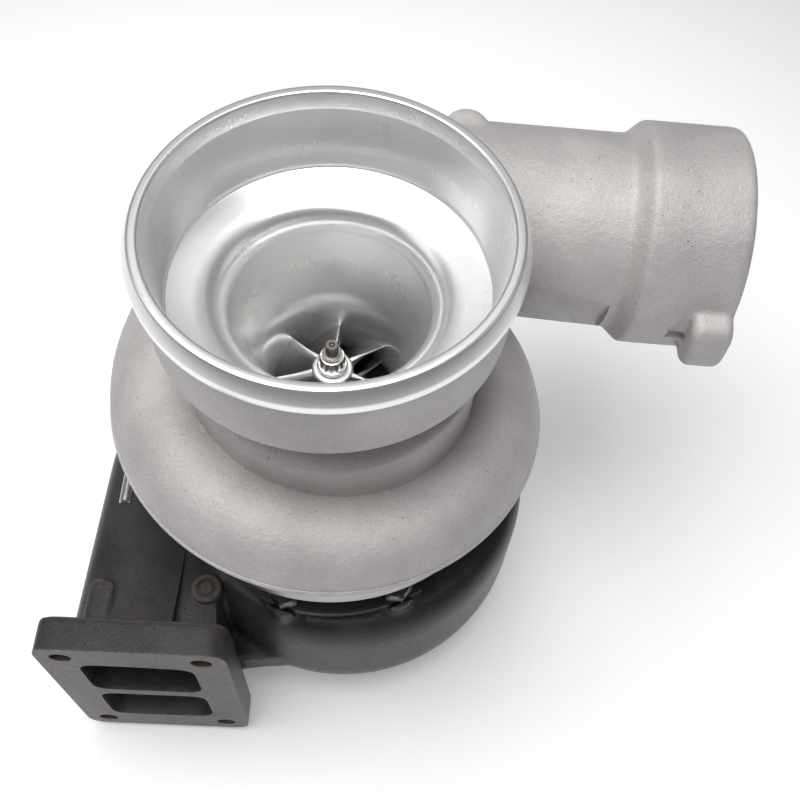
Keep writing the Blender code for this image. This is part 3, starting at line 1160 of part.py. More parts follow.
def shaft_stack(axis):
    """Thrust washer, flinger sleeve with its piston ring, and the shaft nut."""
    bore = STUB_BORE_RADIUS
    thrust = washer(bore, THRUST_WASHER_RADIUS, THRUST_WASHER_Z,
                    THRUST_WASHER_Z + THRUST_WASHER_THICKNESS)
    piece("thrust_washer", thrust, "steel", axis)
    low = THRUST_WASHER_Z + THRUST_WASHER_THICKNESS + SEAT_GAP
    disc_top = FLINGER_DISC_Z + FLINGER_DISC_THICKNESS
    top = WHEEL_BACK_Z - SEAT_GAP
    ring_z = (HEAD_SEAT_Z + WHEEL_POCKET_Z) / 2
    groove = FLINGER_NECK_RADIUS - 1.5 * MM
    above = ring_z + PISTON_RING_THICKNESS / 2 + SEAT_GAP
    below = ring_z - PISTON_RING_THICKNESS / 2 - SEAT_GAP
    sleeve = lathe([(bore, low), (JOURNAL_RADIUS, low), (JOURNAL_RADIUS, FLINGER_DISC_Z),
                    (THRUST_WASHER_RADIUS, FLINGER_DISC_Z), (THRUST_WASHER_RADIUS, disc_top),
                    (FLINGER_NECK_RADIUS, disc_top), (FLINGER_NECK_RADIUS, below), (groove, below),
                    (groove, above),
                    (FLINGER_NECK_RADIUS, above), (FLINGER_NECK_RADIUS, top), (bore, top)],
                    SMALL_SEGMENTS)
    piece("flinger_sleeve", sleeve, "steel", axis)
    ring = washer(groove + SEAT_GAP, FLINGER_NECK_RADIUS + RUN_GAP - SEAT_GAP,
                  ring_z - PISTON_RING_THICKNESS / 2,
                  ring_z + PISTON_RING_THICKNESS / 2)
    piece("compressor_piston_ring", ring, "dark_steel", axis)
    seat = WHEEL_NOSE_Z + SEAT_GAP
    flange_top = seat + NUT_FLANGE_HEIGHT
    nut_top = flange_top + NUT_HEIGHT
    flange = rod(NUT_FLANGE_RADIUS, seat, flange_top, SMALL_SEGMENTS)
    points = [circle(NUT_RADIUS if i % 2 else NUT_RADIUS * 0.9, 24)[i] for i in range(24)]
    crown = prism(points, flange_top - MM / 2, nut_top)
    collar = rod(NUT_RADIUS * 0.8, nut_top - MM / 2, nut_top + NUT_COLLAR_HEIGHT, SMALL_SEGMENTS)
    bore_tool = rod(bore, seat - MM, nut_top + NUT_COLLAR_HEIGHT + MM)
    piece("shaft_nut", cut(joined(flange, crown, collar), bore_tool), "steel", axis)


def main():
    """Build every piece."""
    clear_scene()
    axis = empty("rotor_axis", (AXIS_X, AXIS_Y, 0.0))
    compressor_housing(axis)
    back_plate(axis)
    v_band(axis)
    bearing_housing(axis)
    bearing_pieces(axis)
    heat_shield(axis)
    turbine_housing(axis)
    clamp_plates(axis)
    compressor_wheel(axis)
    turbine_wheel(axis)
    shaft_stack(axis)


if __name__ == "__main__":
    main()
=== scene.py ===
"""Looks of a turbocharger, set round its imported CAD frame.

Lengths are metres in the CAD model's frame. Shapes are worked out about the rotor axis, which
stands along Z at AXIS_X, AXIS_Y, and are moved there as they become meshes. Castings are
cast first, as several surfaces grown into one skin with soft inside corners, and machined
after that, as the real ones are.
"""

import logging
import math
from dataclasses import dataclass, field
from enum import Enum

import bmesh
import bpy
import numpy as np
from mathutils import Matrix, Vector

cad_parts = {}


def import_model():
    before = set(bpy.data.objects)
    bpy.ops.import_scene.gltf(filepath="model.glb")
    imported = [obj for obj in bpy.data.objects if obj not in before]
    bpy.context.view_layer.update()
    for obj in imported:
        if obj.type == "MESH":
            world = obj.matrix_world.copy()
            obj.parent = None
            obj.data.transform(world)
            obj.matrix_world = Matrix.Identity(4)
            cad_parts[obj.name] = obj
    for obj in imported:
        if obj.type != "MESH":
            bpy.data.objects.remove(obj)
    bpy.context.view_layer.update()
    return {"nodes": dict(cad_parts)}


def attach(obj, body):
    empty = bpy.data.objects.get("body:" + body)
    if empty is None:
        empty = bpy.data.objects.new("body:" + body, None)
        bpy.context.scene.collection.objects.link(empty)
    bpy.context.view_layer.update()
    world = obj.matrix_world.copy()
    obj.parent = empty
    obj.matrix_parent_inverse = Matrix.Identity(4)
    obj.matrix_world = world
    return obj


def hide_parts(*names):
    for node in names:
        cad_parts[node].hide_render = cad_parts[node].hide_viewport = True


LOG = logging.getLogger("turbocharger")
MM = 0.001
FULL = 2 * math.pi
AXIS_X = 67.9 * MM
AXIS_Y = 89.2 * MM
SAME_POINT = 1e-7
UNDER_HALF_EDGE = 0.49

Colour = tuple[float, float, float]
Point = tuple[float, float, float]
Feed = bpy.types.NodeSocket | float | tuple[float, ...]


class Body(Enum):
    """What a piece moves with."""

    HOUSING = "housing"
    ROTOR = "rotor"


class Slot(Enum):
    """Material slots of the record."""

    CAST_ALUMINIUM = "cast_aluminium"
    WHEEL_ALUMINIUM = "wheel_aluminium"
    CAST_IRON = "cast_iron"
    STEEL = "steel"
    DARK_STEEL = "dark_steel"
    BRONZE = "bronze"
    RUBBER = "rubber"


class Work(Enum):
    """What a machining step does to a piece."""

    CUT = "DIFFERENCE"
    WELD = "UNION"


# Surfaces


@dataclass
class Shape:
    """Corner points of a surface about the rotor axis, and rows of corners for its faces."""

    points: np.ndarray
    faces: list[np.ndarray] = field(default_factory=list)


def skin(grid: np.ndarray, loop: bool = False, caps: bool = True) -> Shape:
    """Quads over a grid of rings: each ring closes on itself, and rings follow one another.

    Args:
        grid: Points as (rings, sides, 3).
        loop: The last ring meets the first.
        caps: Each end ring is filled with one face.

    Returns:
        The skin.
    """
    rings, sides = grid.shape[:2]
    index = np.arange(rings * sides).reshape(rings, sides)
    ends = [index[:1, ::-1], index[-1:]]
    index = np.column_stack([index, index[:, 0]])
    if loop:
        index = np.vstack([index, index[:1]])
    quads = np.stack([index[:-1, :-1], index[:-1, 1:], index[1:, 1:], index[1:, :-1]], -1)
    faces = [quads.reshape(-1, 4)]
    if caps and not loop:
        faces += ends
    return Shape(grid.reshape(-1, 3), faces)


def around(radius: np.ndarray, angle: np.ndarray, height: np.ndarray) -> np.ndarray:
    """Points (radius cos a, radius sin a, height) at angle a, for arrays that fit together."""
    return np.stack(np.broadcast_arrays(radius * np.cos(angle), radius * np.sin(angle), height), -1)


def turned(profile: np.ndarray, segments: int = 192, first: float = 0.0) -> Shape:
    """A closed (radius, height) outline carried round the rotor axis.

    Each point goes to (radius cos a, radius sin a, height) for every angle a.

    Args:
        profile: Outline as (points, 2).
        segments: Steps round the axis.
        first: Angle of the first step.

    Returns:
        The turned skin.
    """
    angle = first + np.linspace(0.0, FULL, segments, endpoint=False)[:, None]
    radius, height = np.asarray(profile, float).T
    return skin(around(radius, angle, height), loop=True)


def rounded(corners: np.ndarray, radii: np.ndarray, steps: int = 6) -> np.ndarray:
    """An outline whose corners become curves that touch both edges.

    On each corner the curve is (1-t)^2 start + 2t(1-t) corner + t^2 end, with start and end
    a radius away along the two edges, or just under half an edge if that is less.

    Args:
        corners: Outline as (..., corners, 2).
        radii: A radius for each corner, as (..., corners).
        steps: Points on each curve.

    Returns:
        Outline as (..., corners * steps, 2).
    """
    corners = np.asarray(corners, float)
    radii = np.broadcast_to(radii, corners.shape[:-1])[..., None]
    back = np.roll(corners, 1, axis=-2) - corners
    ahead = np.roll(corners, -1, axis=-2) - corners
    length_back = np.linalg.norm(back, axis=-1, keepdims=True)
    length_ahead = np.linalg.norm(ahead, axis=-1, keepdims=True)
    start = corners + back * np.minimum(UNDER_HALF_EDGE, radii / length_back)
    end = corners + ahead * np.minimum(UNDER_HALF_EDGE, radii / length_ahead)
    t = np.linspace(0.0, 1.0, steps)[:, None]
    start, end, middle = start[..., None, :], end[..., None, :], corners[..., None, :]
    points = (1 - t) ** 2 * start + 2 * t * (1 - t) * middle + t * t * end
    return points.reshape(*corners.shape[:-2], -1, 2)


def oblong(low: tuple[float, float], high: tuple[float, float]) -> np.ndarray:
    """Corners of an oblong between two opposite ones."""
    return np.array([low, (high[0], low[1]), high, (low[0], high[1])])


def bezier(controls: list, share: np.ndarray) -> np.ndarray:
    """Points on a cubic curve: the cubic blend of its four controls at each share of the way.

    Args:
        controls: Four points.
        share: Shares of the way.

    Returns:
        One point for each share.
    """
    a, b, c, d = np.asarray(controls, float)
    t = np.asarray(share, float)[:, None]
    return (1 - t) ** 3 * a + 3 * t * (1 - t) ** 2 * b + 3 * t * t * (1 - t) * c + t ** 3 * d


def offset(path: np.ndarray, distance: float) -> np.ndarray:
    """An open path moved sideways: each point goes along the mean normal of its two edges.

    Args:
        path: Points as (points, 2).
        distance: How far to the left.

    Returns:
        The moved path.
    """
    path = np.asarray(path, float)
    run = np.gradient(path, axis=0)
    run /= np.linalg.norm(run, axis=1, keepdims=True)
    return path + distance * np.column_stack([-run[:, 1], run[:, 0]])


def smoothstep(low: float, high: float, value: np.ndarray) -> np.ndarray:
    """0 below low, 1 above high, and 3s^2 - 2s^3 of the share s between."""
    share = np.clip((value - low) / (high - low), 0.0, 1.0)
    return share * share * (3 - 2 * share)


@dataclass(frozen=True)
class Place:
    """A place with three axes, for shapes that don't stand on the rotor axis."""

    origin: tuple[float, float, float]
    x: tuple[float, float, float]
    y: tuple[float, float, float]
    z: tuple[float, float, float]

    def put(self, points: np.ndarray) -> np.ndarray:
        """Points given along the three axes, as points about the rotor axis."""
        return np.asarray(self.origin) + points @ np.array([self.x, self.y, self.z])

    def moved(self, x: float, y: float, z: float = 0.0) -> "Place":
        """The same axes, at a point given along them."""
        return Place(tuple(self.put(np.array([x, y, z]))), self.x, self.y, self.z)


UPRIGHT = Place((0.0, 0.0, 0.0), (1.0, 0.0, 0.0), (0.0, 1.0, 0.0), (0.0, 0.0, 1.0))


def prism(outline: np.ndarray, low: float, high: float, place: Place = UPRIGHT, edge: float = 0.0) -> Shape:
    """An outline carried along the place's Z, with its rims drawn in by an edge.

    Args:
        outline: Points as (points, 2).
        low: First height.
        high: Last height.
        place: Where the outline stands.
        edge: Width of a bevel on both rims.

    Returns:
        The closed shape.
    """
    flat = np.asarray(outline, float)
    middle = flat.mean(axis=0)
    reach = np.linalg.norm(flat - middle, axis=1, keepdims=True)
    inner = middle + (flat - middle) * (1 - edge / np.maximum(reach, 1e-9))
    rows = [(flat, low), (flat, high)]
    if edge:
        rows = [(inner, low), (flat, low + edge), (flat, high - edge), (inner, high)]
    grid = np.stack([np.column_stack([row, np.full(len(row), z)]) for row, z in rows])
    return skin(place.put(grid))


def circle(radius: float, sides: int, first: float = 0.0) -> np.ndarray:
    """Points on a circle: (radius cos a, radius sin a)."""
    angle = first + np.linspace(0.0, FULL, sides, endpoint=False)
    return radius * np.column_stack([np.cos(angle), np.sin(angle)])


def rod(radius: float, low: float, high: float, place: Place = UPRIGHT, edge: float = 0.0,
        sides: int = 48) -> Shape:
    """A round bar along the place's Z."""
    return prism(circle(radius, sides), low, high, place, edge)


def spanner_rings(rows: list, star: np.ndarray, angle: np.ndarray, seat: float = 0.0) -> np.ndarray:
    """Rings of a nut or a bolt: round ones, and ones that follow a star held in by a radius.

    Args:
        rows: Radius, height and 1 for a ring that follows the star, of each ring.
        star: Radius of the star at each angle.
        angle: Angles round the axis.
        seat: Height that the rings stand on.

    Returns:
        Points as (rings, angles, 3).
    """
    radius = np.stack([np.minimum(star, r) if pointed else np.full(len(angle), r) for r, _, pointed in rows])
    height = seat + np.array([z for _, z, _ in rows])[:, None]
    return around(radius, angle, height)


def standing(angle: float, radius: float, z: float) -> Place:
    """A place at an angle and radius about the rotor axis, whose X points outwards."""
    c, s = math.cos(angle), math.sin(angle)
    return Place((radius * c, radius * s, z), (c, s, 0.0), (-s, c, 0.0), (0.0, 0.0, 1.0))


# Meshes


def mesh_of(name: str, *shapes: Shape) -> bpy.types.Mesh:
    """One mesh of several shapes, moved to the rotor axis, merged, with its faces outwards.

    Args:
        name: Name of the mesh.
        shapes: Its shapes.

    Returns:
        The mesh.
    """
    counts = np.cumsum([0] + [len(shape.points) for shape in shapes])
    points = np.concatenate([shape.points for shape in shapes]) + (AXIS_X, AXIS_Y, 0.0)
    blocks = [block + first for shape, first in zip(shapes, counts) for block in shape.faces]
    loops = np.concatenate([block.ravel() for block in blocks])
    totals = np.concatenate([np.full(len(block), block.shape[1]) for block in blocks])
    mesh = bpy.data.meshes.new(name)
    mesh.vertices.add(len(points))
    mesh.vertices.foreach_set("co", points.astype(np.float32).ravel())
    mesh.loops.add(len(loops))
    mesh.loops.foreach_set("vertex_index", loops.astype(np.int32))
    mesh.polygons.add(len(totals))
    mesh.polygons.foreach_set("loop_start", (np.cumsum(totals) - totals).astype(np.int32))
    mesh.update(calc_edges=True)
    work = bmesh.new()
    work.from_mesh(mesh)
    bmesh.ops.remove_doubles(work, verts=work.verts, dist=SAME_POINT)
    bmesh.ops.dissolve_degenerate(work, edges=work.edges, dist=SAME_POINT)
    bmesh.ops.recalc_face_normals(work, faces=work.faces)
    work.to_mesh(mesh)
    work.free()
    return mesh


def object_of(name: str, *shapes: Shape) -> bpy.types.Object:
    """An object of several shapes, linked to the scene.

    Args:
        name: Name of the object.
        shapes: Its shapes.

    Returns:
        The object.
    """
    made = bpy.data.objects.new(name, mesh_of(name, *shapes))
    bpy.context.scene.collection.objects.link(made)
    return made


def settle(made: bpy.types.Object) -> None:
    """Turn an object's modifiers into its mesh.

    Args:
        made: The object.
    """
    graph = bpy.context.evaluated_depsgraph_get()
    mesh = bpy.data.meshes.new_from_object(made.evaluated_get(graph))
    made.modifiers.clear()
    old, made.data = made.data, mesh
    bpy.data.meshes.remove(old)


def cast(name: str, shapes: list[Shape], grain: float, rounds: int) -> bpy.types.Object:
    """Grow shapes into one skin and soften its corners.

    Args:
        name: Name of the piece.
        shapes: Closed shapes that overlap.
        grain: Size of the skin's faces.
        rounds: How often each point is moved towards its neighbours' middle.

    Returns:
        The cast piece.
    """
    made = object_of(name, *shapes)
    grow = made.modifiers.new("grow", "REMESH")
    grow.mode = "VOXEL"
    grow.voxel_size = grain
    soften = made.modifiers.new("soften", "SMOOTH")
    soften.factor = 0.5
    soften.iterations = rounds
    settle(made)
    return made


def machine(made: bpy.types.Object, shapes: list[Shape], work: Work = Work.CUT) -> None:
    """Cut shapes out of a piece, or weld them on, one after another."""
    for shape in shapes:
        tool = object_of("cutter", shape)
        step = made.modifiers.new("step", "BOOLEAN")
        step.operation = work.value
        step.solver = "MANIFOLD"
        step.object = tool
        settle(made)
        bpy.data.objects.remove(tool, do_unlink=True)


def shade(made: bpy.types.Object, angle: float = 32.0) -> None:
    """Smooth shading, with edges sharper than an angle in degrees left crisp."""
    made.data.shade_smooth()
    made.data.set_sharp_from_angle(angle=math.radians(angle))


def dress(made: bpy.types.Object, body: Body, slot: Slot, finishes: list, *nodes: str) -> bpy.types.Object:
    """Give a piece its finishes, its body and the CAD nodes that it stands for.

    Args:
        made: The piece.
        body: What it moves with.
        slot: Its material slot; not used.
        finishes: Its finishes.
        nodes: CAD nodes.

    Returns:
        The piece.
    """
    made.data.materials.clear()
    for finish in finishes:
        made.data.materials.append(finish.material())
    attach(made, body.value)
    if nodes:
        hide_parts(*nodes)
    count = sum(len(face.vertices) - 2 for face in made.data.polygons)
    LOG.info("%s: %d triangles on %s", made.name, count, body.value)
    return made


def plain_piece(name: str, shapes: list[Shape], slot: Slot, finish: "Finish", *nodes: str) -> None:
    """Make and dress a piece of the housing that has one finish.

    Args:
        name: Name of the piece.
        shapes: Its shapes.
        slot: Its material slot.
        finish: Its finish.
        nodes: CAD nodes that it stands for.
    """
    made = object_of(name, *shapes)
    shade(made)
    dress(made, Body.HOUSING, slot, [finish], *nodes)


def face_centres(made: bpy.types.Object) -> tuple[np.ndarray, np.ndarray]:
    """Centres about the rotor axis, and normals, of a piece's faces.

    Args:
        made: The piece.

    Returns:
        Centres and normals, as (faces, 3) each.
    """
    count = len(made.data.polygons)
    centres, normals = np.empty(count * 3, np.float32), np.empty(count * 3, np.float32)
    made.data.polygons.foreach_get("center", centres)
    made.data.polygons.foreach_get("normal", normals)
    return centres.reshape(-1, 3) - (AXIS_X, AXIS_Y, 0.0), normals.reshape(-1, 3)


def paint(made: bpy.types.Object, index: np.ndarray) -> None:
    """Give each face the finish with that number."""
    made.data.polygons.foreach_set("material_index", index.astype(np.int32))


# Finishes


class Nodes:
    """A material's node tree, with short ways to add nodes to it."""

    def __init__(self, name: str) -> None:
        """Start a material with a Principled shader."""
        self.material = bpy.data.materials.new(name)
        self.material.use_nodes = True
        self.tree = self.material.node_tree
        self.shader = self.tree.nodes["Principled BSDF"]

    def add(self, kind: str, settings: dict | None = None, **inputs: Feed) -> bpy.types.Node:
        """A node with settings, and with its inputs set or linked by name.

        Args:
            kind: Type of the node.
            settings: Its settings.
            inputs: Values or sockets for its inputs.

        Returns:
            The node.
        """
        node = self.tree.nodes.new(kind)
        for name, value in (settings or {}).items():
            setattr(node, name, value)
        for name, value in inputs.items():
            self.feed(node.inputs[name.replace("_", " ")], value)
        return node

    def feed(self, socket: bpy.types.NodeSocket, value: Feed) -> None:
        """Link a socket to another, or set its value."""
        if isinstance(value, bpy.types.NodeSocket):
            self.tree.links.new(value, socket)
        else:
            socket.default_value = value

    def object_place(self) -> bpy.types.NodeSocket:
        """Object coordinates."""
        return self.add("ShaderNodeTexCoord").outputs["Object"]

    def scaled(self, vector: Feed, scale: Point) -> bpy.types.NodeSocket:
        """A vector with each part multiplied.

        Args:
            vector: The vector.
            scale: A factor for each part.

        Returns:
            The result's socket.
        """
        node = self.add("ShaderNodeVectorMath", {"operation": "MULTIPLY"})
        self.feed(node.inputs[0], vector)
        self.feed(node.inputs[1], scale)
        return node.outputs["Vector"]

    def noise(self, vector: Feed, scale: float, detail: float = 3.0,
              rough: float = 0.55) -> bpy.types.NodeSocket:
        """Cloudy noise from 0 to 1."""
        node = self.add("ShaderNodeTexNoise", Vector=vector, Scale=scale, Detail=detail, Roughness=rough)
        return node.outputs["Fac"]

    def cells(self, vector: Feed, scale: float) -> bpy.types.NodeSocket:
        """Distance to the nearest of scattered points."""
        return self.add("ShaderNodeTexVoronoi", Vector=vector, Scale=scale).outputs["Distance"]

    def span(self, value: Feed, low: float, high: float, to_low: float,
             to_high: float) -> bpy.types.NodeSocket:
        """A value carried from one span to another, and held at its ends.

        Args:
            value: The value.
            low: Start of its span.
            high: End of it.
            to_low: New start.
            to_high: New end.

        Returns:
            The result's socket.
        """
        node = self.add("ShaderNodeMapRange", Value=value)
        for name, number in zip(("From Min", "From Max", "To Min", "To Max"), (low, high, to_low, to_high)):
            node.inputs[name].default_value = number
        return node.outputs["Result"]

    def math(self, operation: str, first: Feed, second: Feed = 0.0) -> bpy.types.NodeSocket:
        """A sum or product of two values.

        Args:
            operation: What is done.
            first: First value.
            second: Second value.

        Returns:
            The result's socket.
        """
        node = self.add("ShaderNodeMath", {"operation": operation})
        self.feed(node.inputs[0], first)
        self.feed(node.inputs[1], second)
        return node.outputs["Value"]

    def mix(self, share: Feed, first: Feed, second: Feed) -> bpy.types.NodeSocket:
        """A colour between two.

        Args:
            share: Share of the second.
            first: First colour.
            second: Second colour.

        Returns:
            The result's socket.
        """
        node = self.add("ShaderNodeMix", {"data_type": "RGBA"})
        self.feed(node.inputs[0], share)
        for socket, colour in ((node.inputs[6], first), (node.inputs[7], second)):
            self.feed(socket, colour if isinstance(colour, bpy.types.NodeSocket) else (*colour, 1.0))
        return node.outputs[2]

    def bump(self, height: Feed, depth: float, strength: float = 1.0) -> None:
        """Relief from a height between 0 and 1, of a depth in metres."""
        node = self.add("ShaderNodeBump", Height=height, Strength=strength, Distance=depth)
        self.feed(self.shader.inputs["Normal"], node.outputs["Normal"])

    def round_place(self, vector: Feed, centre: Point) -> tuple[bpy.types.NodeSocket, ...]:
        """Radius about an upright axis, height, and the way out from the axis, of each point.

        Args:
            vector: The point.
            centre: A point on the axis.

        Returns:
            Sockets of radius, height and way.
        """
        node = self.add("ShaderNodeMapping", Vector=vector, Location=tuple(-c for c in centre))
        flat = self.scaled(node.outputs["Vector"], (1.0, 1.0, 0.0))
        radius = self.add("ShaderNodeVectorMath", {"operation": "LENGTH"})
        self.feed(radius.inputs[0], flat)
        way = self.add("ShaderNodeVectorMath", {"operation": "NORMALIZE"})
        self.feed(way.inputs[0], flat)
        split = self.add("ShaderNodeSeparateXYZ")
        self.feed(split.inputs[0], node.outputs["Vector"])
        return radius.outputs["Value"], split.outputs["Z"], way.outputs["Vector"]

    def joined(self, x: Feed, y: Feed, z: Feed = 0.0) -> bpy.types.NodeSocket:
        """A vector of three values.

        Args:
            x: First part.
            y: Second part.
            z: Third part.

        Returns:
            The result's socket.
        """
        node = self.add("ShaderNodeCombineXYZ")
        for socket, value in zip(node.inputs, (x, y, z)):
            self.feed(socket, value)
        return node.outputs["Vector"]

    def shine(self, **values: Feed) -> None:
        """Set or link the shader's sockets by name."""
        for name, value in values.items():
            self.feed(self.shader.inputs[name.replace("_", " ")], value)


@dataclass(frozen=True)
class Finish:
    """A surface finish, made into a material once."""

    name: str

    def material(self) -> bpy.types.Material:
        """The finish's material."""
        found = bpy.data.materials.get(self.name)
        return found if found else self.make(Nodes(self.name))

    def make(self, nodes: Nodes) -> bpy.types.Material:
        """Build the material's nodes.

        Args:
            nodes: The material's node tree.

        Returns:
            The material.
        """
        raise NotImplementedError


@dataclass(frozen=True)
class CastFinish(Finish):
    """As-cast metal: blasted grain, soft lumps, blotches of tone and scattered pits."""

    light: tuple[float, float, float]
    dark: tuple[float, float, float]
    worn: tuple[float, float, float]
    metal: float
    rough: tuple[float, float]
    grain: float
    relief: float
    pit_share: float
    wear: float
    gloss: float = 0.5

    def make(self, nodes: Nodes) -> bpy.types.Material:
        """Grain and lumps make relief and tone; pits darken; raised edges are rubbed lighter.

        Args:
            nodes: The material's node tree.

        Returns:
            The material.
        """
        place = nodes.object_place()
        fine = nodes.noise(place, 1 / self.grain, 6.0, 0.62)
        lumps = nodes.noise(place, 0.22 / self.grain, 4.0, 0.55)
        tone = nodes.noise(place, 22.0, 3.0, 0.6)
        near = nodes.span(nodes.cells(place, 0.3 / self.grain), 0.05, 0.2, 1.0, 0.0)
        patches = nodes.noise(place, 0.08 / self.grain, 2.0)
        some = nodes.span(patches, 0.6 - self.pit_share, 0.72 - self.pit_share, 0.0, 1.0)
        pit = nodes.math("MULTIPLY", near, some)
        height = nodes.math("ADD", nodes.math("MULTIPLY", lumps, 0.9), nodes.math("MULTIPLY", fine, 0.75))
        height = nodes.math("SUBTRACT", height, nodes.math("MULTIPLY", pit, 1.1))
        blotch = nodes.math("ADD", nodes.math("MULTIPLY", tone, 0.55), nodes.math("MULTIPLY", fine, 0.45))
        colour = nodes.mix(nodes.span(blotch, 0.36, 0.64, 0.0, 1.0), self.dark, self.light)
        colour = nodes.mix(nodes.math("MULTIPLY", pit, 0.55), colour, tuple(0.35 * c for c in self.dark))
        edge = nodes.add("ShaderNodeNewGeometry").outputs["Pointiness"]
        rubbed = nodes.span(edge, 0.515, 0.56, 0.0, self.wear)
        rubbed = nodes.math("MULTIPLY", rubbed, nodes.span(lumps, 0.35, 0.6, 0.3, 1.0))
        colour = nodes.mix(rubbed, colour, self.worn)
        rough = nodes.span(fine, 0.3, 0.7, self.rough[1], self.rough[0])
        nodes.shine(Base_Color=colour, Roughness=rough, Metallic=self.metal, Specular_IOR_Level=self.gloss)
        nodes.bump(height, self.relief)
        return nodes.material


@dataclass(frozen=True)
class TurnedFinish(Finish):
    """Bright turned metal: tool rings about an upright axis, and radial streaks that vary the roughness and
    paint a streaked reflection into the colour.
    """

    colour: tuple[float, float, float]
    rough: tuple[float, float]
    ring: float
    relief: float
    stretch: float
    # How far rings and streaks darken the colour; the streaks' share of it is painted reflection.
    ring_and_sheen_depth: float = 0.15
    metal: float = 1.0
    centre: tuple[float, float, float] = (AXIS_X, AXIS_Y, 0.0)

    def make(self, nodes: Nodes) -> bpy.types.Material:
        """Noise by radius and height gives rings, and noise by the way out gives streaks across them; in the
        colour the streaks are a painted reflection.

        Args:
            nodes: The material's node tree.

        Returns:
            The material.
        """
        place = nodes.object_place()
        radius, height, way = nodes.round_place(place, self.centre)
        rings = nodes.noise(nodes.joined(radius, height), 1 / self.ring, 2.0, 0.6)
        bands = nodes.noise(nodes.joined(radius, height), 0.12 / self.ring, 2.0)
        streaks = nodes.noise(way, 30.0, 4.0, 0.7)
        smear = nodes.noise(place, 70.0, 3.0)
        mixed = nodes.math("ADD", nodes.math("MULTIPLY", bands, 0.3), nodes.math("MULTIPLY", smear, 0.25))
        mixed = nodes.math("ADD", mixed, nodes.math("MULTIPLY", streaks, 0.45))
        rough = nodes.span(mixed, 0.36, 0.64, self.rough[0], self.rough[1])
        # Painted reflection: radial streaks, mixed with the real tool rings, darken the colour.
        tone = nodes.math("ADD", nodes.math("MULTIPLY", rings, 0.3), nodes.math("MULTIPLY", streaks, 0.7))
        tone = nodes.span(tone, 0.36, 0.62, 0.0, 1.0)
        colour = nodes.mix(tone, tuple((1 - self.ring_and_sheen_depth) * c for c in self.colour), self.colour)
        nodes.shine(Base_Color=colour, Roughness=rough, Metallic=self.metal, Anisotropic=self.stretch)
        if self.relief:
            nodes.bump(rings, self.relief)
        return nodes.material


@dataclass(frozen=True)
class MilledFinish(Finish):
    """Flat or drawn metal with fine straight marks and slight stains."""

    colour: tuple[float, float, float]
    stain: tuple[float, float, float]
    metal: float
    rough: tuple[float, float]
    marks: tuple[float, float, float]
    relief: float

    def make(self, nodes: Nodes) -> bpy.types.Material:
        """Noise stretched along the marks gives scratches; broad noise gives stains and gloss.

        Args:
            nodes: The material's node tree.

        Returns:
            The material.
        """
        place = nodes.object_place()
        lines = nodes.noise(nodes.scaled(place, self.marks), 1.0, 3.0, 0.65)
        cloud = nodes.noise(place, 55.0, 4.0, 0.6)
        colour = nodes.mix(nodes.span(cloud, 0.4, 0.7, 0.0, 0.8), self.colour, self.stain)
        colour = nodes.mix(nodes.span(lines, 0.35, 0.65, 0.0, 0.25), colour, self.stain)
        mixed = nodes.math("ADD", nodes.math("MULTIPLY", lines, 0.4), nodes.math("MULTIPLY", cloud, 0.6))
        rough = nodes.span(mixed, 0.35, 0.65, self.rough[0], self.rough[1])
        nodes.shine(Base_Color=colour, Roughness=rough, Metallic=self.metal)
        nodes.bump(lines, self.relief)
        return nodes.material


ALUMINIUM_CAST = CastFinish("aluminium_cast", (0.63, 0.608, 0.60), (0.42, 0.404, 0.398),
                            (0.78, 0.765, 0.755), 0.35,
                            (0.46, 0.66), 0.55 * MM, 0.3 * MM, 0.04, 0.3)
ALUMINIUM_TURNED = TurnedFinish("aluminium_turned", (0.90, 0.893, 0.888), (0.27, 0.29), 0.6 * MM, 0.0, 0.5,
                                0.025, 0.88)
# The rim's strong streaks paint stripes of reflection into its colour.
ALUMINIUM_RIM = TurnedFinish("aluminium_rim", (0.92, 0.90, 0.888), (0.20, 0.24), 0.6 * MM, 0.0, 0.5, 0.24,
                             0.94)
# A darker copy of the turned aluminium: painted shade, and a painted reflection of the dark wheel, in the
# bore below the throat.
ALUMINIUM_BORE_SHADED = TurnedFinish("aluminium_bore_shaded", (0.40, 0.396, 0.392), (0.30, 0.33), 0.6 * MM, 0.0, 0.4, 0.03)
ALUMINIUM_WHEEL = MilledFinish("aluminium_wheel", (0.50, 0.495, 0.49), (0.38, 0.375, 0.37), 1.0, (0.40, 0.52),
                               (260.0, 260.0, 1500.0), 0.012 * MM)
IRON_CAST = CastFinish("iron_cast", (0.062, 0.059, 0.0575), (0.021, 0.0201, 0.0197), (0.17, 0.138, 0.118),
                       0.0,
                       (0.24, 0.36), 0.9 * MM, 0.17 * MM, 0.04, 0.45, 0.12)
IRON_MILLED = MilledFinish("iron_milled", (0.105, 0.1037, 0.1025), (0.074, 0.0727, 0.0715), 0.75,
                           (0.28, 0.42),
                           (90.0, 90.0, 2400.0), 0.006 * MM)
IRON_BORE = TurnedFinish("iron_bore", (0.07, 0.068, 0.066), (0.38, 0.55), 0.5 * MM, 0.02 * MM, 0.2)
STEEL_BRIGHT = MilledFinish("steel_bright", (0.58, 0.575, 0.565), (0.46, 0.45, 0.44), 1.0, (0.24, 0.38),
                            (500.0, 500.0, 1800.0), 0.005 * MM)
STEEL_BOLT = MilledFinish("steel_bolt", (0.16, 0.157, 0.153), (0.10, 0.098, 0.095), 1.0, (0.30, 0.46),
                          (500.0, 500.0, 1800.0), 0.006 * MM)
STEEL_TURNED = TurnedFinish("steel_turned", (0.62, 0.615, 0.61), (0.16, 0.28), 0.2 * MM, 0.008 * MM, 0.4)
STEEL_DARK = MilledFinish("steel_dark", (0.035, 0.034, 0.033), (0.022, 0.021, 0.021), 0.6, (0.36, 0.5),
                          (400.0, 400.0, 1500.0), 0.008 * MM)
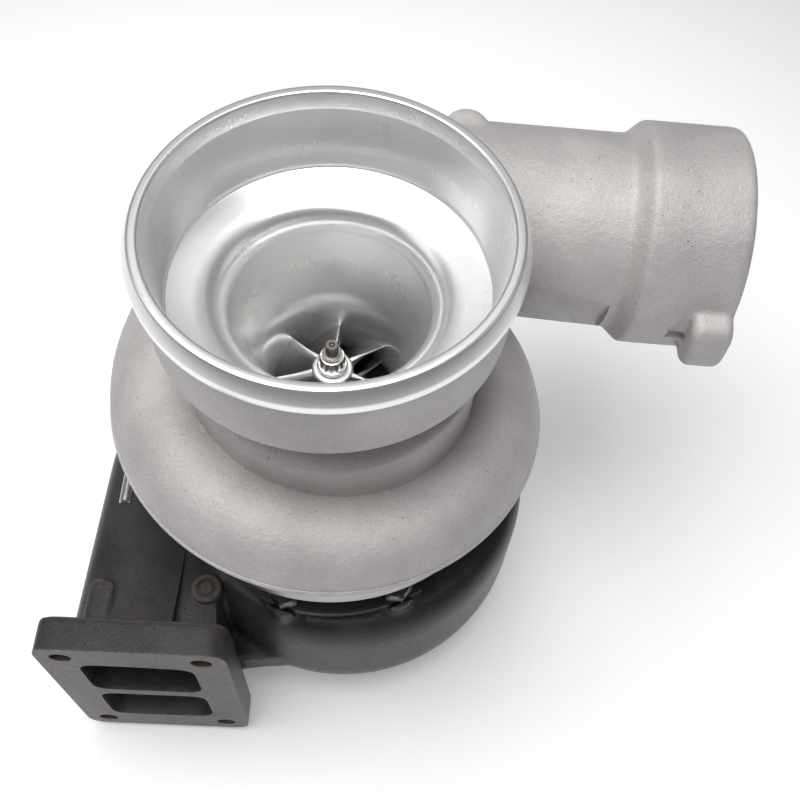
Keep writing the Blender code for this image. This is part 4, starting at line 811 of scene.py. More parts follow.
STEEL_BAND = MilledFinish("steel_band", (0.46, 0.45, 0.435), (0.36, 0.35, 0.335), 1.0, (0.26, 0.42),
                          (60.0, 60.0, 2600.0), 0.006 * MM)
TURBINE_ALLOY = MilledFinish("turbine_alloy", (0.22, 0.205, 0.19), (0.13, 0.12, 0.115), 0.95, (0.34, 0.52),
                             (300.0, 300.0, 700.0), 0.015 * MM)
BEARING_BRONZE = TurnedFinish("bearing_bronze", (0.62, 0.42, 0.20), (0.24, 0.40), 0.3 * MM, 0.01 * MM, 0.3)
SEAL_RUBBER = CastFinish("seal_rubber", (0.022, 0.022, 0.022), (0.014, 0.014, 0.014), (0.03, 0.03, 0.03), 0.0,
                         (0.5, 0.7), 0.6 * MM, 0.02 * MM, -0.2, 0.1)


# Compressor side


@dataclass
class Duct:
    """Outlet duct: a straight axis beside the rotor's, and sizes along it."""

    turn: float = math.radians(-2.4)
    out: float = 70.7 * MM
    z: float = 111.2 * MM
    radius: float = 37.0 * MM
    socket_radius: float = 42.3 * MM
    socket_start: float = 101.5 * MM
    flare: float = 6.0 * MM
    end: float = 143.3 * MM
    end_edge: float = 2.4 * MM
    start_wall: float = 8.5 * MM
    wall: float = 5.5 * MM
    bore_edge: float = 1.0 * MM

    def place(self) -> Place:
        """Axes of the duct: X away from the rotor, Y up, Z along the duct."""
        c, s = math.cos(self.turn), math.sin(self.turn)
        return Place((-s * self.out, c * self.out, self.z), (-s, c, 0.0), (0.0, 0.0, 1.0), (c, s, 0.0))

    def rings(self, along: np.ndarray, radius: np.ndarray, sides: int) -> np.ndarray:
        """Circles square to the duct's axis, of a radius at each distance along it."""
        angle = np.linspace(0.0, FULL, sides, endpoint=False)
        return self.place().put(around(np.asarray(radius)[:, None], angle, np.asarray(along)[:, None]))

    def outside(self, sides: int) -> np.ndarray:
        """Rings of the duct's outside: a bar, an even flare, the socket and its rounded end."""
        bar = np.linspace(2 * MM, self.socket_start, 50)
        rise = self.socket_start + np.linspace(0.0, self.flare, 14)[1:]
        bend = np.linspace(0.0, math.pi / 2, 8)
        socket = np.linspace(self.socket_start + self.flare, self.end - self.end_edge, 16)[1:-1]
        close = self.end - self.end_edge + self.end_edge * np.sin(bend)
        grow = (rise - self.socket_start) / self.flare * (self.socket_radius - self.radius)
        radius = [np.full(len(bar), self.radius), self.radius + grow,
                  np.full(len(socket), self.socket_radius),
                  self.socket_radius - self.end_edge * (1 - np.cos(bend))]
        return self.rings(np.concatenate([bar, rise, socket, close]), np.concatenate(radius), sides)


@dataclass
class Scroll:
    """Air scroll round the wheel: a round section that grows clockwise and becomes the duct."""

    floor_z: float = 68.9 * MM
    start_radius: float = 15.2 * MM
    growth: float = 16.1 * MM
    outer: float = 76.8 * MM
    spread: float = 4.8 * MM
    climb: float = 8.0 * MM
    lead: float = 0.12
    last: float = 0.75
    ease_from: float = 0.53
    wall: float = 5.0 * MM
    duct: Duct = field(default_factory=Duct)

    def rings(self, first: float, walls: tuple[float, float], sides: int, stations: int) -> np.ndarray:
        """Circles that stand on the scroll's middle line.

        At t turns from the tongue the radius is start + growth t and the floor is level. A
        smooth step over the last third of a turn carries radius, middle and height over to
        the duct's.

        Args:
            first: First station, in turns.
            walls: Thickness taken off the radius at the tongue and at the duct.
            sides: Points on a ring.
            stations: Rings.

        Returns:
            Points as (stations, sides, 3).
        """
        t = np.linspace(first, self.last, stations)[:, None]
        ease = smoothstep(self.ease_from, self.last, t)
        radius = self.start_radius + self.growth * t
        middle = self.outer + self.spread * t - radius
        height = self.floor_z + radius + self.climb * t
        radius = radius + ease * (self.duct.radius - radius)
        middle = middle + ease * (self.duct.out - middle)
        height = height + ease * (self.duct.z - height)
        inside = radius - walls[0] - ease * (walls[1] - walls[0])
        side = np.linspace(0.0, FULL, sides, endpoint=False)
        angle = -FULL * t + self.duct.turn * np.maximum(0.0, t) / self.last
        return around(middle + inside * np.cos(side), angle, height + inside * np.sin(side))

    def outside(self, sides: int = 96, stations: int = 200) -> Shape:
        """Outside of the scroll and the duct as one skin."""
        scroll = self.rings(-self.lead, (0.0, 0.0), sides, stations)
        return skin(np.concatenate([scroll, self.duct.outside(sides)]))

    def seam(self, radius: float, last: float = 0.52, sides: int = 10) -> Shape:
        """Mould seam: a thin bar along the scroll's outermost line, which thins out at both ends.

        Args:
            radius: Half its width.
            last: Where it ends, in turns.
            sides: Points on a ring.

        Returns:
            The shape.
        """
        path = self.rings(-self.lead / 2, (0.0, 0.0), 4, 240)[:, 0]
        share = np.linspace(-self.lead / 2, self.last, len(path))
        keep = share < last
        path, share = path[keep], share[keep, None]
        fade = smoothstep(-self.lead / 2, 0.0, share) * (1 - smoothstep(last - 0.1, last, share))
        thick = radius * (0.1 + 0.9 * fade)
        out = path * (1.0, 1.0, 0.0) / np.hypot(path[:, :1], path[:, 1:2])
        angle = np.linspace(0.0, FULL, sides, endpoint=False)
        ring = np.cos(angle)[:, None] * out[:, None, :] + np.sin(angle)[:, None] * np.array([0.0, 0.0, 1.3])
        return skin(path[:, None, :] + thick[:, None, :] * ring)

    def passage(self, sides: int = 72, stations: int = 140) -> Shape:
        """Air passage of the scroll and the widening duct, open at the outlet."""
        duct = self.duct
        rings = self.rings(0.0, (self.wall, duct.start_wall), sides, stations)
        along = np.array([duct.socket_start, duct.end - duct.bore_edge, duct.end + MM])
        mouth = duct.socket_radius - duct.wall
        ends = np.array([duct.radius - duct.wall, mouth, mouth + 2 * MM])
        return skin(np.concatenate([rings, duct.rings(along, ends, sides)]))


@dataclass
class Inlet:
    """Inlet bell, funnel and wheel contour, turned about the rotor axis."""

    rim_z: float = 182.0 * MM
    band_radius: float = 59.4 * MM
    band_depth: float = 7.0 * MM
    rim_chamfer: float = 4.8 * MM
    inside_radius: float = 55.3 * MM
    rim_land: float = 2.0 * MM
    floor_radius: float = 52.2 * MM
    floor_z: float = 151.7 * MM
    funnel_radius: float = 32.8 * MM
    funnel_z: float = 140.5 * MM
    throat_radius: float = 24.55 * MM
    throat_z: float = 120.4 * MM
    skin_depth: float = 0.7 * MM

    def tip_curve(self, share: np.ndarray, gap: float = 0.0) -> np.ndarray:
        """Contour of the wheel's blade tips, moved out by a gap, as a cubic curve."""
        return bezier([(21.5 * MM + gap, 102.8 * MM), (21.5 * MM + gap, 91.2 * MM),
                       (23.0 * MM + gap, 81.46 * MM + gap),
                       (31.5 * MM + gap, 79.6 * MM + gap)], share)

    def face(self) -> np.ndarray:
        """Turned (radius, height) path from the band over the rim down to the diffuser."""
        rim, band = self.rim_z, self.band_radius
        lip_start = self.floor_radius - 8.15 * MM
        corners = np.array([(band - 0.5 * MM, rim - self.band_depth - 0.6 * MM),
                            (band, rim - self.band_depth),
                            (band, rim - self.rim_chamfer), (self.inside_radius + self.rim_land, rim),
                            (self.inside_radius, rim), (self.inside_radius - 1.4 * MM, rim - 5 * MM),
                            (self.floor_radius + 0.7 * MM, self.floor_z + 1.9 * MM),
                            (self.floor_radius, self.floor_z), (lip_start, self.floor_z - MM)])
        soft = np.array([0.2, 0.3, 0.5, 0.3, 0.3, 0.35, 1.0, 1.0, 1.0]) * MM
        path = rounded(corners, soft, 5)[4:-4]
        lip = bezier([(lip_start, self.floor_z - MM), (self.funnel_radius + 5 * MM, self.floor_z - 1.6 * MM),
                      (self.funnel_radius + 1.5 * MM, self.floor_z - 4 * MM),
                      (self.funnel_radius, self.funnel_z)],
                     np.linspace(0.0, 1.0, 24))
        bore = np.array([(self.throat_radius, self.throat_z), (21.9 * MM, 103.6 * MM)])
        tip = self.tip_curve(np.linspace(0.0, 1.0, 24), 0.4 * MM)
        return np.concatenate([path, lip, bore, tip, [(52.0 * MM, 80.0 * MM)]])

    def turning(self) -> Shape:
        """The turned skin: the visible path and the same path a little way into the metal."""
        path = self.face()
        return turned(np.concatenate([path, offset(path, -self.skin_depth)[::-1]]), 256)

    def core(self) -> Shape:
        """What the turning takes out of the casting, half the skin's depth into the metal."""
        path = offset(self.face(), -self.skin_depth / 2)
        first = np.argmax(path[:, 1] > self.rim_z - 2 * self.rim_chamfer)
        before = np.arange(len(path)) < first
        start = np.argmin(np.abs(path[:, 0] - self.inside_radius + 0.5 * MM) + 10 * before)
        ends = np.array([(55.7, 80.0), (55.7, 60.0), (0.0, 60.0), (0.0, 190.0), (56.0, 190.0)]) * MM
        return turned(np.concatenate([path[start:], ends]), 192)

    def outside(self) -> Shape:
        """As-cast outside of the bell, neck, collar, drum and clamp rim."""
        corners = np.array([(0.0, 180.2), (56.8, 180.2), (58.3, 176.8), (58.9, 174.6), (57.3, 147.0),
                            (47.0, 145.6),
                            (43.5, 141.7), (43.5, 126.9), (49.8, 124.6), (51.1, 122.9), (51.1, 84.1),
                            (61.0, 81.1),
                            (61.0, 65.6), (67.5, 65.6), (67.5, 62.0), (0.0, 62.0)]) * MM
        soft = np.array([0.0, 0.4, 0.8, 0.8, 2.0, 2.5, 2.5, 2.5, 1.2, 1.2, 1.0, 1.0, 1.0, 0.6, 0.6, 0.0]) * MM
        return turned(rounded(corners, soft, 6), 224)


@dataclass
class CompressorHousing:
    """Cast aluminium housing: scroll, duct, bell, pad and lugs, with its turned inlet."""

    grain: float = 1.22 * MM
    rounds: int = 4
    seam: float = 0.7 * MM
    pad: tuple[float, float, float] = (44.6 * MM, 86.0 * MM, 145.0 * MM)
    pad_radius: float = 7.8 * MM
    lug_length: float = 15.8 * MM
    lug_reach: float = 51.5 * MM
    lug_top: float = 7.0 * MM
    lug_bottom: float = 18.0 * MM
    lug_corner: float = 10.0 * MM
    lug_hole_at: tuple[float, float] = (42.5 * MM, -7.7 * MM)
    lug_hole: float = 3.2 * MM
    flat_span: tuple[float, float] = (66.0 * MM, 99.0 * MM)
    flat_depth: tuple[float, float] = (31.7 * MM, 34.4 * MM)
    flat_tilt: float = math.radians(19.8)
    scroll: Scroll = field(default_factory=Scroll)
    inlet: Inlet = field(default_factory=Inlet)

    def lug(self, side: int) -> Shape:
        """Bolt lug beside the socket: a rounded block carried along the duct.

        Args:
            side: -1 or 1.

        Returns:
            The shape.
        """
        root = 0.8 * self.scroll.duct.socket_radius
        corners = oblong((root, self.lug_top), (self.lug_reach, -self.lug_bottom))
        outline = rounded(corners, np.array([MM, self.lug_corner, self.lug_corner, MM]), 10)
        end = self.scroll.duct.end
        return prism(outline * (side, 1), end - self.lug_length, end - MM / 2, self.scroll.duct.place(),
                     2.2 * MM)

    def lug_bore(self, side: int) -> Shape:
        """Bolt hole through a lug.

        Args:
            side: -1 or 1.

        Returns:
            The shape.
        """
        duct = self.scroll.duct
        out, up = self.lug_hole_at
        place = duct.place().moved(side * out, up)
        return rod(self.lug_hole, duct.end - self.lug_length - 6 * MM, duct.end + MM, place)

    def flat(self) -> Shape:
        """Block that leaves a flat on the duct's lower front."""
        facing = np.array([-math.cos(self.flat_tilt), -math.sin(self.flat_tilt)])
        along = np.array([-facing[1], facing[0]])
        radius = self.scroll.duct.radius
        rows = []
        for z, depth in zip(self.flat_span, self.flat_depth):
            wide = math.sqrt(radius ** 2 - depth ** 2) + MM / 2
            near, far = depth * facing, (radius + MM) * facing
            square = np.array([near - wide * along, near + wide * along, far + wide * along,
                               far - wide * along])
            rows.append(np.column_stack([square, np.full(4, z)]))
        return skin(self.scroll.duct.place().put(np.stack(rows)))

    def casting(self) -> bpy.types.Object:
        """Cast the outside, then cut the inlet, the passage, the flat and the bolt holes."""
        x, y, top = self.pad
        pad = rod(self.pad_radius, self.scroll.duct.z, top, UPRIGHT.moved(x, y), 1.2 * MM)
        made = cast("compressor_casting", [self.scroll.outside(), pad, self.lug(-1), self.lug(1)],
                    self.grain, self.rounds)
        machine(made, [self.inlet.outside(), self.scroll.seam(self.seam)], Work.WELD)
        bores = [self.lug_bore(-1), self.lug_bore(1)]
        machine(made, [self.inlet.core(), self.scroll.passage(), self.flat(), *bores])
        shade(made, 38.0)
        return made

    def facing(self) -> Shape:
        """Turned ring on the outlet's end."""
        duct = self.scroll.duct
        inner, outer = duct.socket_radius - duct.wall + MM, duct.socket_radius - duct.end_edge
        rows = np.array([(inner, duct.end - MM), (outer, duct.end - MM), (outer, duct.end),
                         (inner, duct.end + 0.05 * MM)])
        angle = np.linspace(0.0, FULL, 160, endpoint=False)[:, None]
        return skin(duct.place().put(around(rows[:, 0], angle, rows[:, 1])), loop=True)

    def build(self) -> None:
        """Make the casting and its turned parts."""
        dress(self.casting(), Body.HOUSING, Slot.CAST_ALUMINIUM, [ALUMINIUM_CAST], "compressor_housing")
        turning = object_of("inlet_turning", self.inlet.turning())
        shade(turning, 40.0)
        height = face_centres(turning)[0][:, 2]
        rim = height > self.inlet.rim_z - self.inlet.rim_chamfer - 0.3 * MM
        # Faces below the throat take the darker copy of the turned finish as painted shade.
        paint(turning, np.where(rim, 1, np.where(height < self.inlet.throat_z, 2, 0)))
        dress(turning, Body.HOUSING, Slot.CAST_ALUMINIUM, [ALUMINIUM_TURNED, ALUMINIUM_RIM, ALUMINIUM_BORE_SHADED])
        plain_piece("outlet_facing", [self.facing()], Slot.CAST_ALUMINIUM, STEEL_BRIGHT)


# Wheels


@dataclass
class BladedWheel:
    """A hub with blades, skinned ring by ring along its hub line."""

    blades: int
    root: float
    edge: float
    slant: float = 1.3
    fillet: float = 0.9 * MM
    side: tuple[float, ...] = (0.0, 0.03, 0.08, 0.18, 0.4, 0.7, 0.93, 1.0)
    gap_points: int = 5
    fillet_fade: float = 0.05
    foot_most: float = 0.36
    lift_most: float = 0.42
    tuck: float = 0.96

    def rings(self, hub: np.ndarray, tip: np.ndarray, turn: np.ndarray, up: np.ndarray, thick: np.ndarray,
              first: float) -> np.ndarray:
        """Rings round the wheel that follow the hub between blades and rise over each blade.

        A blade's side runs up the line from hub to tip, at half its thickness to each side
        of the blade's own angle, with a fillet that dies away from the root. Where a blade
        isn't up its points lie on the hub.

        Args:
            hub: (radius, height) at each ring's hub, as (rings, 2).
            tip: The same at its blade tips.
            turn: Angle that each ring is turned by.
            up: 1 where a blade stands and 0 where it doesn't, as (rings, blades).
            thick: Share of the blade's thickness, as (rings, blades).
            first: Angle of the first blade.

        Returns:
            Points as (rings, points, 3).
        """
        rise = np.array(self.side)
        base = first + np.arange(self.blades) * FULL / self.blades
        pitch = FULL / self.blades
        up, thick = up[..., None], thick[..., None]
        reach = up * rise
        place = hub[:, None, None, :] + reach[..., None] * (tip - hub)[:, None, None, :]
        half = self.slant * (self.root + rise * (self.edge - self.root)) / 2 * thick
        half = half + up * self.fillet * np.exp(-rise / self.fillet_fade)
        foot = self.slant * self.root / 2 / hub[:, 0] + self.fillet / hub[:, 0]
        foot = np.minimum(foot, self.foot_most * pitch)
        lift = np.minimum(half / place[..., 0], self.lift_most * pitch)
        flat = foot[:, None, None] * (1 - self.tuck * rise)
        swing = np.where(up > 0, lift, flat)
        share = np.linspace(0.0, 1.0, self.gap_points + 2)[1:-1]
        here = swing[..., :1]
        gap = here + share * (pitch - here - np.roll(here, -1, axis=1))
        angle = np.concatenate([-swing, swing[..., ::-1], gap], -1)
        ground = np.broadcast_to(hub[:, None, None, :], (*gap.shape, 2))
        place = np.concatenate([place, place[..., ::-1, :], ground], -2)
        angle = (angle + base[:, None] + turn[:, None, None]).reshape(len(hub), -1)
        place = place.reshape(len(hub), -1, 2)
        return around(place[..., 0], angle, place[..., 1])

    def plain(self, profile: np.ndarray, turn: np.ndarray, first: float) -> np.ndarray:
        """Rings without blades along a (radius, height) profile."""
        none = np.zeros((len(profile), self.blades))
        return self.rings(profile, profile, turn, none, none, first)


@dataclass
class CompressorWheel:
    """Compressor wheel with full and splitter blades, leant back against its turning."""

    first: float = math.radians(86.5)
    wrap: float = math.radians(62.0)
    pairs: int = 7
    splitter: float = 2 / 7
    nose_z: float = 107.0 * MM
    back_z: float = 72.4 * MM
    bore: float = 3.5 * MM
    rim_radius: float = 31.5 * MM
    blade_root: float = 1.7 * MM
    blade_edge: float = 0.8 * MM
    inlet: Inlet = field(default_factory=Inlet)

    def shares(self) -> tuple[np.ndarray, np.ndarray, np.ndarray]:
        """Stations along the hub, doubled where blades start or end, and whether each set is up."""
        early = np.array([0.0, 0.0, 0.006, 0.014, 0.03])
        late = self.splitter + early
        share = np.concatenate([early, np.linspace(0.05, self.splitter - 0.02, 10), late,
                                np.linspace(self.splitter + 0.05, 1.0, 30), [1.0]])
        order = np.arange(len(share))
        full = (order > 0) & (order < len(share) - 1)
        split = (order > np.argmax(share >= self.splitter)) & (order < len(share) - 1)
        return share, full, split

    def build(self) -> None:
        """Make the wheel."""
        wheel = BladedWheel(2 * self.pairs, self.blade_root, self.blade_edge)
        share, full, split = self.shares()
        hub = bezier([(7.35 * MM, 105.3 * MM), (8.35 * MM, 86.56 * MM), (16.38 * MM, 76.48 * MM),
                      (31.5 * MM, 74.8 * MM)], share)
        tip = self.inlet.tip_curve(share)
        turn = self.wrap * (1.8 * share - 1.3 * share ** 2 + 0.5 * share ** 3)
        up = np.tile(np.column_stack([full, split]), self.pairs).astype(float)
        late = np.clip(share - self.splitter, 0.0, 1.0)
        thick = np.stack([0.2 + 0.8 * np.sqrt(np.clip(s / 0.03, 0.0, 1.0)) for s in (share, late)], 1)
        bladed = wheel.rings(hub, tip, turn, up, np.tile(thick, self.pairs), self.first)
        nose = np.array([(self.bore, self.back_z), (self.bore, self.nose_z), (6.1 * MM, self.nose_z),
                         (6.9 * MM, 106.7 * MM), (7.35 * MM, 106.0 * MM)])
        start = wheel.plain(nose, np.zeros(len(nose)), self.first)
        back = np.linspace(1.0, 0.0, 14)
        disc = self.bore + back * (self.rim_radius - self.bore)
        disc = np.column_stack([disc, np.full(len(back), self.back_z)])[:-1]
        end = wheel.plain(disc, self.wrap * back[:-1], self.first)
        made = object_of("compressor_wheel_milled", skin(np.concatenate([start, bladed, end]), loop=True))
        shade(made, 40.0)
        dress(made, Body.ROTOR, Slot.WHEEL_ALUMINIUM, [ALUMINIUM_WHEEL], "compressor_wheel")


@dataclass
class TurbineRotor:
    """Turbine wheel and its shaft, one skin from the shaft's tip to the wheel's nose."""

    blades: int = 10
    exit_turn: float = math.radians(38.0)
    blade_root: float = 2.2 * MM
    blade_edge: float = 1.2 * MM
    shaft: tuple = ((0.0, 120.5), (0.55, 120.5), (0.6, 118.9), (0.9, 118.7), (1.0, 120.5), (2.0, 120.5),
                    (2.3, 120.1),
                    (2.3, 115.6), (3.2, 115.4), (3.2, 54.15), (6.0, 54.1), (6.0, 18.6), (8.4, 18.55),
                    (8.4, 5.5))

    def build(self) -> None:
        """Make the rotor."""
        wheel = BladedWheel(self.blades, self.blade_root, self.blade_edge)
        share = np.concatenate([[0.0], np.linspace(0.0, 1.0, 34), [1.0]])
        order = np.arange(len(share))
        hub = bezier([(29.5, 6.0), (17.0, 2.0), (9.0, -14.0), (8.0, -28.0)], share) * MM
        tip = bezier([(30.0, -6.0), (27.0, -8.75), (26.0, -13.33), (26.0, -28.0)], share) * MM
        turn = self.exit_turn * share ** 2.2
        up = np.tile(((order > 0) & (order < len(share) - 1)).astype(float)[:, None], self.blades)
        bladed = wheel.rings(hub, tip, turn, up, np.ones_like(up), 0.0)
        front = np.array([*self.shaft, (9.0, 7.4), (12.0, 8.0), (29.0, 7.2), (29.5, 6.8)]) * MM
        start = wheel.plain(front, np.zeros(len(front)), 0.0)
        nose = np.array([(7.6, -29.5), (6.2, -31.4), (5.6, -32.0), (0.0, -32.0)]) * MM
        end = wheel.plain(nose, np.full(len(nose), self.exit_turn), 0.0)
        made = object_of("turbine_rotor", skin(np.concatenate([start, bladed, end]), caps=False))
        shade(made, 38.0)
        centres, _ = face_centres(made)
        reach = np.hypot(centres[:, 0], centres[:, 1])
        tip_end = centres[:, 2] > 115.5 * MM
        ground = (centres[:, 2] > 9 * MM) & (reach < 9 * MM)
        paint(made, np.where(tip_end, 2, np.where(ground, 1, 0)))
        dress(made, Body.ROTOR, Slot.DARK_STEEL, [TURBINE_ALLOY, STEEL_TURNED, STEEL_DARK],
              "turbine_wheel_and_shaft")


@dataclass
class ShaftNut:
    """Twelve-point nut with a coned flange and a collar."""

    seat: float = 107.3 * MM
    flange: float = 5.5 * MM
    points: float = 4.6 * MM
    bore: float = 3.5 * MM

    def build(self) -> None:
        """Make the nut: rings whose radius is the larger of two hexagons, held in by a cone."""
        angle = np.linspace(0.0, FULL, 144, endpoint=False)
        hexes = [np.cos(math.pi / 6) / np.cos((angle + shift) % (math.pi / 3) - math.pi / 6)
                 for shift in (0.0, math.pi / 6)]
        star = self.points * np.maximum(*hexes)
        rows = [(self.bore, 0.0, 0), (5.2 * MM, 0.0, 0), (self.flange, 0.3 * MM, 0),
                (self.flange, 0.8 * MM, 0),
                (4.95 * MM, 1.5 * MM, 0), (4.8 * MM, 1.6 * MM, 1), (4.8 * MM, 5.9 * MM, 1),
                (4.2 * MM, 6.6 * MM, 1),
                (3.75 * MM, 6.7 * MM, 0), (3.7 * MM, 7.9 * MM, 0), (3.45 * MM, 8.2 * MM, 0),
                (3.3 * MM, 8.2 * MM, 0)]
        grid = spanner_rings(rows, star, angle, self.seat)
        made = object_of("shaft_nut_twelve_point", skin(grid, loop=True))
        shade(made, 28.0)
        centres, _ = face_centres(made)
        paint(made, (centres[:, 2] > self.seat + 1.55 * MM).astype(int))
        dress(made, Body.ROTOR, Slot.STEEL, [STEEL_BRIGHT, STEEL_BOLT], "shaft_nut")


# Turbine side


@dataclass
class TurbineHousing:
    """Cast iron housing: inlet leg and flange, volute, deck and outlet."""

    grain: float = 1.2 * MM
    rounds: int = 4
    leg_half_width: float = 27.3 * MM
    leg_half_height: float = 41.0 * MM
    start_half: float = 33.0 * MM
    end_half: float = 29.5 * MM
    start_radius: float = 95.2 * MM
    end_radius: float = 68.0 * MM
    shoulder: float = 16.0 * MM
    edge: float = 17.0 * MM
    sweep: float = math.radians(330.0)
    tongue: float = math.radians(20.0)
    wall: float = 6.0 * MM
    divider: float = 6.0 * MM
    port_width: float = 42.6 * MM
    port_height: float = 32.0 * MM
    port_corner: float = 7.0 * MM
    flange_half: tuple[float, float] = (34.8 * MM, 52.25 * MM)
    flange_corner: float = 8.0 * MM
    flange_thickness: float = 12.7 * MM
    bolt_half: tuple[float, float] = (25.4 * MM, 42.85 * MM)
    bolt_hole: float = 3.95 * MM
    outlet_z: float = -57.0 * MM
    bolt_circle: float = 61.5 * MM
    bolt_angles: tuple[float, ...] = (-104.0, -64.0, 16.0, 56.0, 136.0, 176.0)
    boss_from_flank: float = 5.5 * MM
    boss_from_flange: float = 19.4 * MM
    boss_core: float = 5.0 * MM
    boss_radius: float = 5.8 * MM
    boss_top: float = 34.0 * MM
    dimple_radius: float = 3.6 * MM
    dimple_floor: float = 33.3 * MM
    stub_radius: float = 2.5 * MM
    stub_top: float = 33.8 * MM
    step_span: tuple[float, float] = (11.5 * MM, 45.0 * MM)
    step_end: float = 52.0 * MM
    step_floor: float = 31.5 * MM
    bolt_hole_depth: float = 52.0 * MM
    deck_z: float = 33.2 * MM

    def outline(self, inner: np.ndarray, outer: np.ndarray, half: np.ndarray,
                shoulder: np.ndarray) -> np.ndarray:
        """Casting sections with bevelled shoulders on their inner side, as (stations, points, 2).

        Args:
            inner: Inner radius of each section.
            outer: Outer radius.
            half: Half height.
            shoulder: Half height at the inner side.

        Returns:
            The sections.
        """
        knee = (inner + outer) / 2
        places = ((inner, -shoulder), (knee, -half), (outer, -half), (outer, half), (knee, half),
                  (inner, shoulder))
        corners = np.stack([np.stack(place, -1) for place in places], -2)
        edge = np.minimum(self.edge, half * 0.7)[:, None]
        return rounded(corners, edge * np.array([0.25, 0.5, 1.0, 1.0, 0.5, 0.25]), 9)

    def channel(self, inner: np.ndarray, outer: np.ndarray, top: np.ndarray, shoulder: np.ndarray,
                side: int) -> np.ndarray:
        """Sections of one gas passage beside the divider.

        Args:
            inner: Inner radius of each section.
            outer: Outer radius.
            top: Height of its roof.
            shoulder: Roof at the inner side.
            side: -1 or 1.

        Returns:
            The sections.
        """
        low = np.full_like(top, self.divider / 2)
        knee = (inner + outer) / 2
        places = ((inner, low), (outer, low), (outer, top), (knee, top), (inner, shoulder))
        corners = np.stack([np.stack(place, -1) for place in places], -2)
        return rounded(corners, np.full(5, self.port_corner), 6) * (1, side)

    def swept(self, leg: np.ndarray, leg_y: np.ndarray, volute: np.ndarray, angle: np.ndarray) -> Shape:
        """Sections carried along the straight leg and then round the rotor axis.

        Args:
            leg: Sections of the leg.
            leg_y: Their places.
            volute: Sections of the volute.
            angle: Their angles.

        Returns:
            The shape.
        """
        straight = np.stack([-leg[..., 0], leg_y[:, None] + 0 * leg[..., 0], leg[..., 1]], -1)
        curved = around(volute[..., 0], angle[:, None], volute[..., 1])
        return skin(np.concatenate([straight, curved]))

    def volute(self, share: np.ndarray) -> tuple[np.ndarray, np.ndarray]:
        """Outer radius and half height, a share of the way round: both shrink evenly."""
        return (self.start_radius + share * (self.end_radius - self.start_radius),
                self.start_half + share * (self.end_half - self.start_half))

    def body(self) -> Shape:
        """Outside of the leg and the volute."""
        inner = AXIS_X - self.leg_half_width
        along = np.linspace(0.0, 1.0, 24, endpoint=False)
        half = self.leg_half_height + along * (self.start_half - self.leg_half_height)
        shoulder = half - 2 * MM + along * (self.shoulder - half + 2 * MM)
        leg = self.outline(np.full_like(along, inner), np.full_like(along, self.start_radius), half, shoulder)
        share = np.linspace(0.0, 1.0, 120)
        outer, half = self.volute(share)
        volute = self.outline(np.full_like(share, inner), outer, half, np.full_like(share, self.shoulder))
        return self.swept(leg, (-AXIS_Y + 6 * MM) * (1 - along), volute, math.pi - share * self.sweep)

    def passage(self, side: int) -> Shape:
        """One gas passage from its port to the volute's end."""
        inner = AXIS_X - self.port_width / 2
        along = np.linspace(0.0, 1.0, 24, endpoint=False)
        top = self.divider / 2 + self.port_height + along * (self.start_half - self.leg_half_height)
        shoulder = top - MM + along * (self.shoulder - self.wall - top + MM)
        leg = self.channel(np.full_like(along, inner), np.full_like(along, inner + self.port_width), top,
                           shoulder, side)
        share = np.linspace(0.0, 1.0 - self.tongue / self.sweep, 100)
        outer, half = self.volute(share)
        volute = self.channel(np.full_like(share, inner), outer - self.wall, half - self.wall,
                              np.full_like(share, self.shoulder - self.wall), side)
        return self.swept(leg, -(AXIS_Y + MM) * (1 - along), volute, math.pi - share * self.sweep)

    def flange_place(self) -> Place:
        """Inlet flange's face: X across, Y up, Z into the housing."""
        return Place((-AXIS_X, -AXIS_Y, 0.0), (1.0, 0.0, 0.0), (0.0, 0.0, 1.0), (0.0, 1.0, 0.0))

    def flange(self) -> Shape:
        """Flange plate, left long at the front for the facing cut."""
        x, z = self.flange_half
        outline = rounded(oblong((-x, -z), (x, z)), np.full(4, self.flange_corner), 10)
        return prism(outline, -4 * MM, self.flange_thickness, self.flange_place())

    def extras(self) -> list[Shape]:
        """Web, leg boss, leg pad and clamp bosses."""
        corner = np.array([-AXIS_X + self.leg_half_width - 1.5 * MM, -AXIS_Y + self.flange_thickness - MM])
        web = corner + np.array([(0.0, 3.5), (10.9, 6.0), (31.9, 8.5), (42.1, 32.9), (0.0, 37.4)]) * MM
        shapes = [self.leg_pad(), prism(web, -22 * MM, -8 * MM), self.post(self.boss_core, -20 * MM, 31 * MM)]
        for degrees in self.bolt_angles:
            shapes.append(rod(8 * MM, 0.0, 37.2 * MM, standing(math.radians(degrees), self.bolt_circle, 0.0)))
        return shapes

    def post(self, radius: float, low: float, high: float, edge: float = 0.0) -> Shape:
        """Part of the leg's boss: a round bar on the boss's own axis."""
        x = -AXIS_X + self.leg_half_width - self.boss_from_flank
        y = -AXIS_Y + self.flange_thickness + self.boss_from_flange
        return rod(radius, low, high, UPRIGHT.moved(x, y), edge)

    def leg_pad(self) -> Shape:
        """Raised pad on the leg's outer top edge, beside the flange."""
        low = np.array([-20.5 * MM - AXIS_X, self.flange_thickness - MM - AXIS_Y])
        outline = rounded(low + oblong((0.0, 0.0), (8.6, 19.6)) * MM, np.full(4, 2.5 * MM), 6)
        return prism(outline, 0.0, 41.2 * MM)

    def drum(self) -> Shape:
        """Deck, belly and outlet neck, left long at the bottom for the facing cut."""
        profile = np.array([(0.0, 36.3), (59.5, 36.3), (59.5, -16.0), (42.0, -29.5), (39.0, -51.0),
                            (46.0, -52.0),
                            (46.0, -61.0), (0.0, -61.0)]) * MM
        return turned(profile, 160)

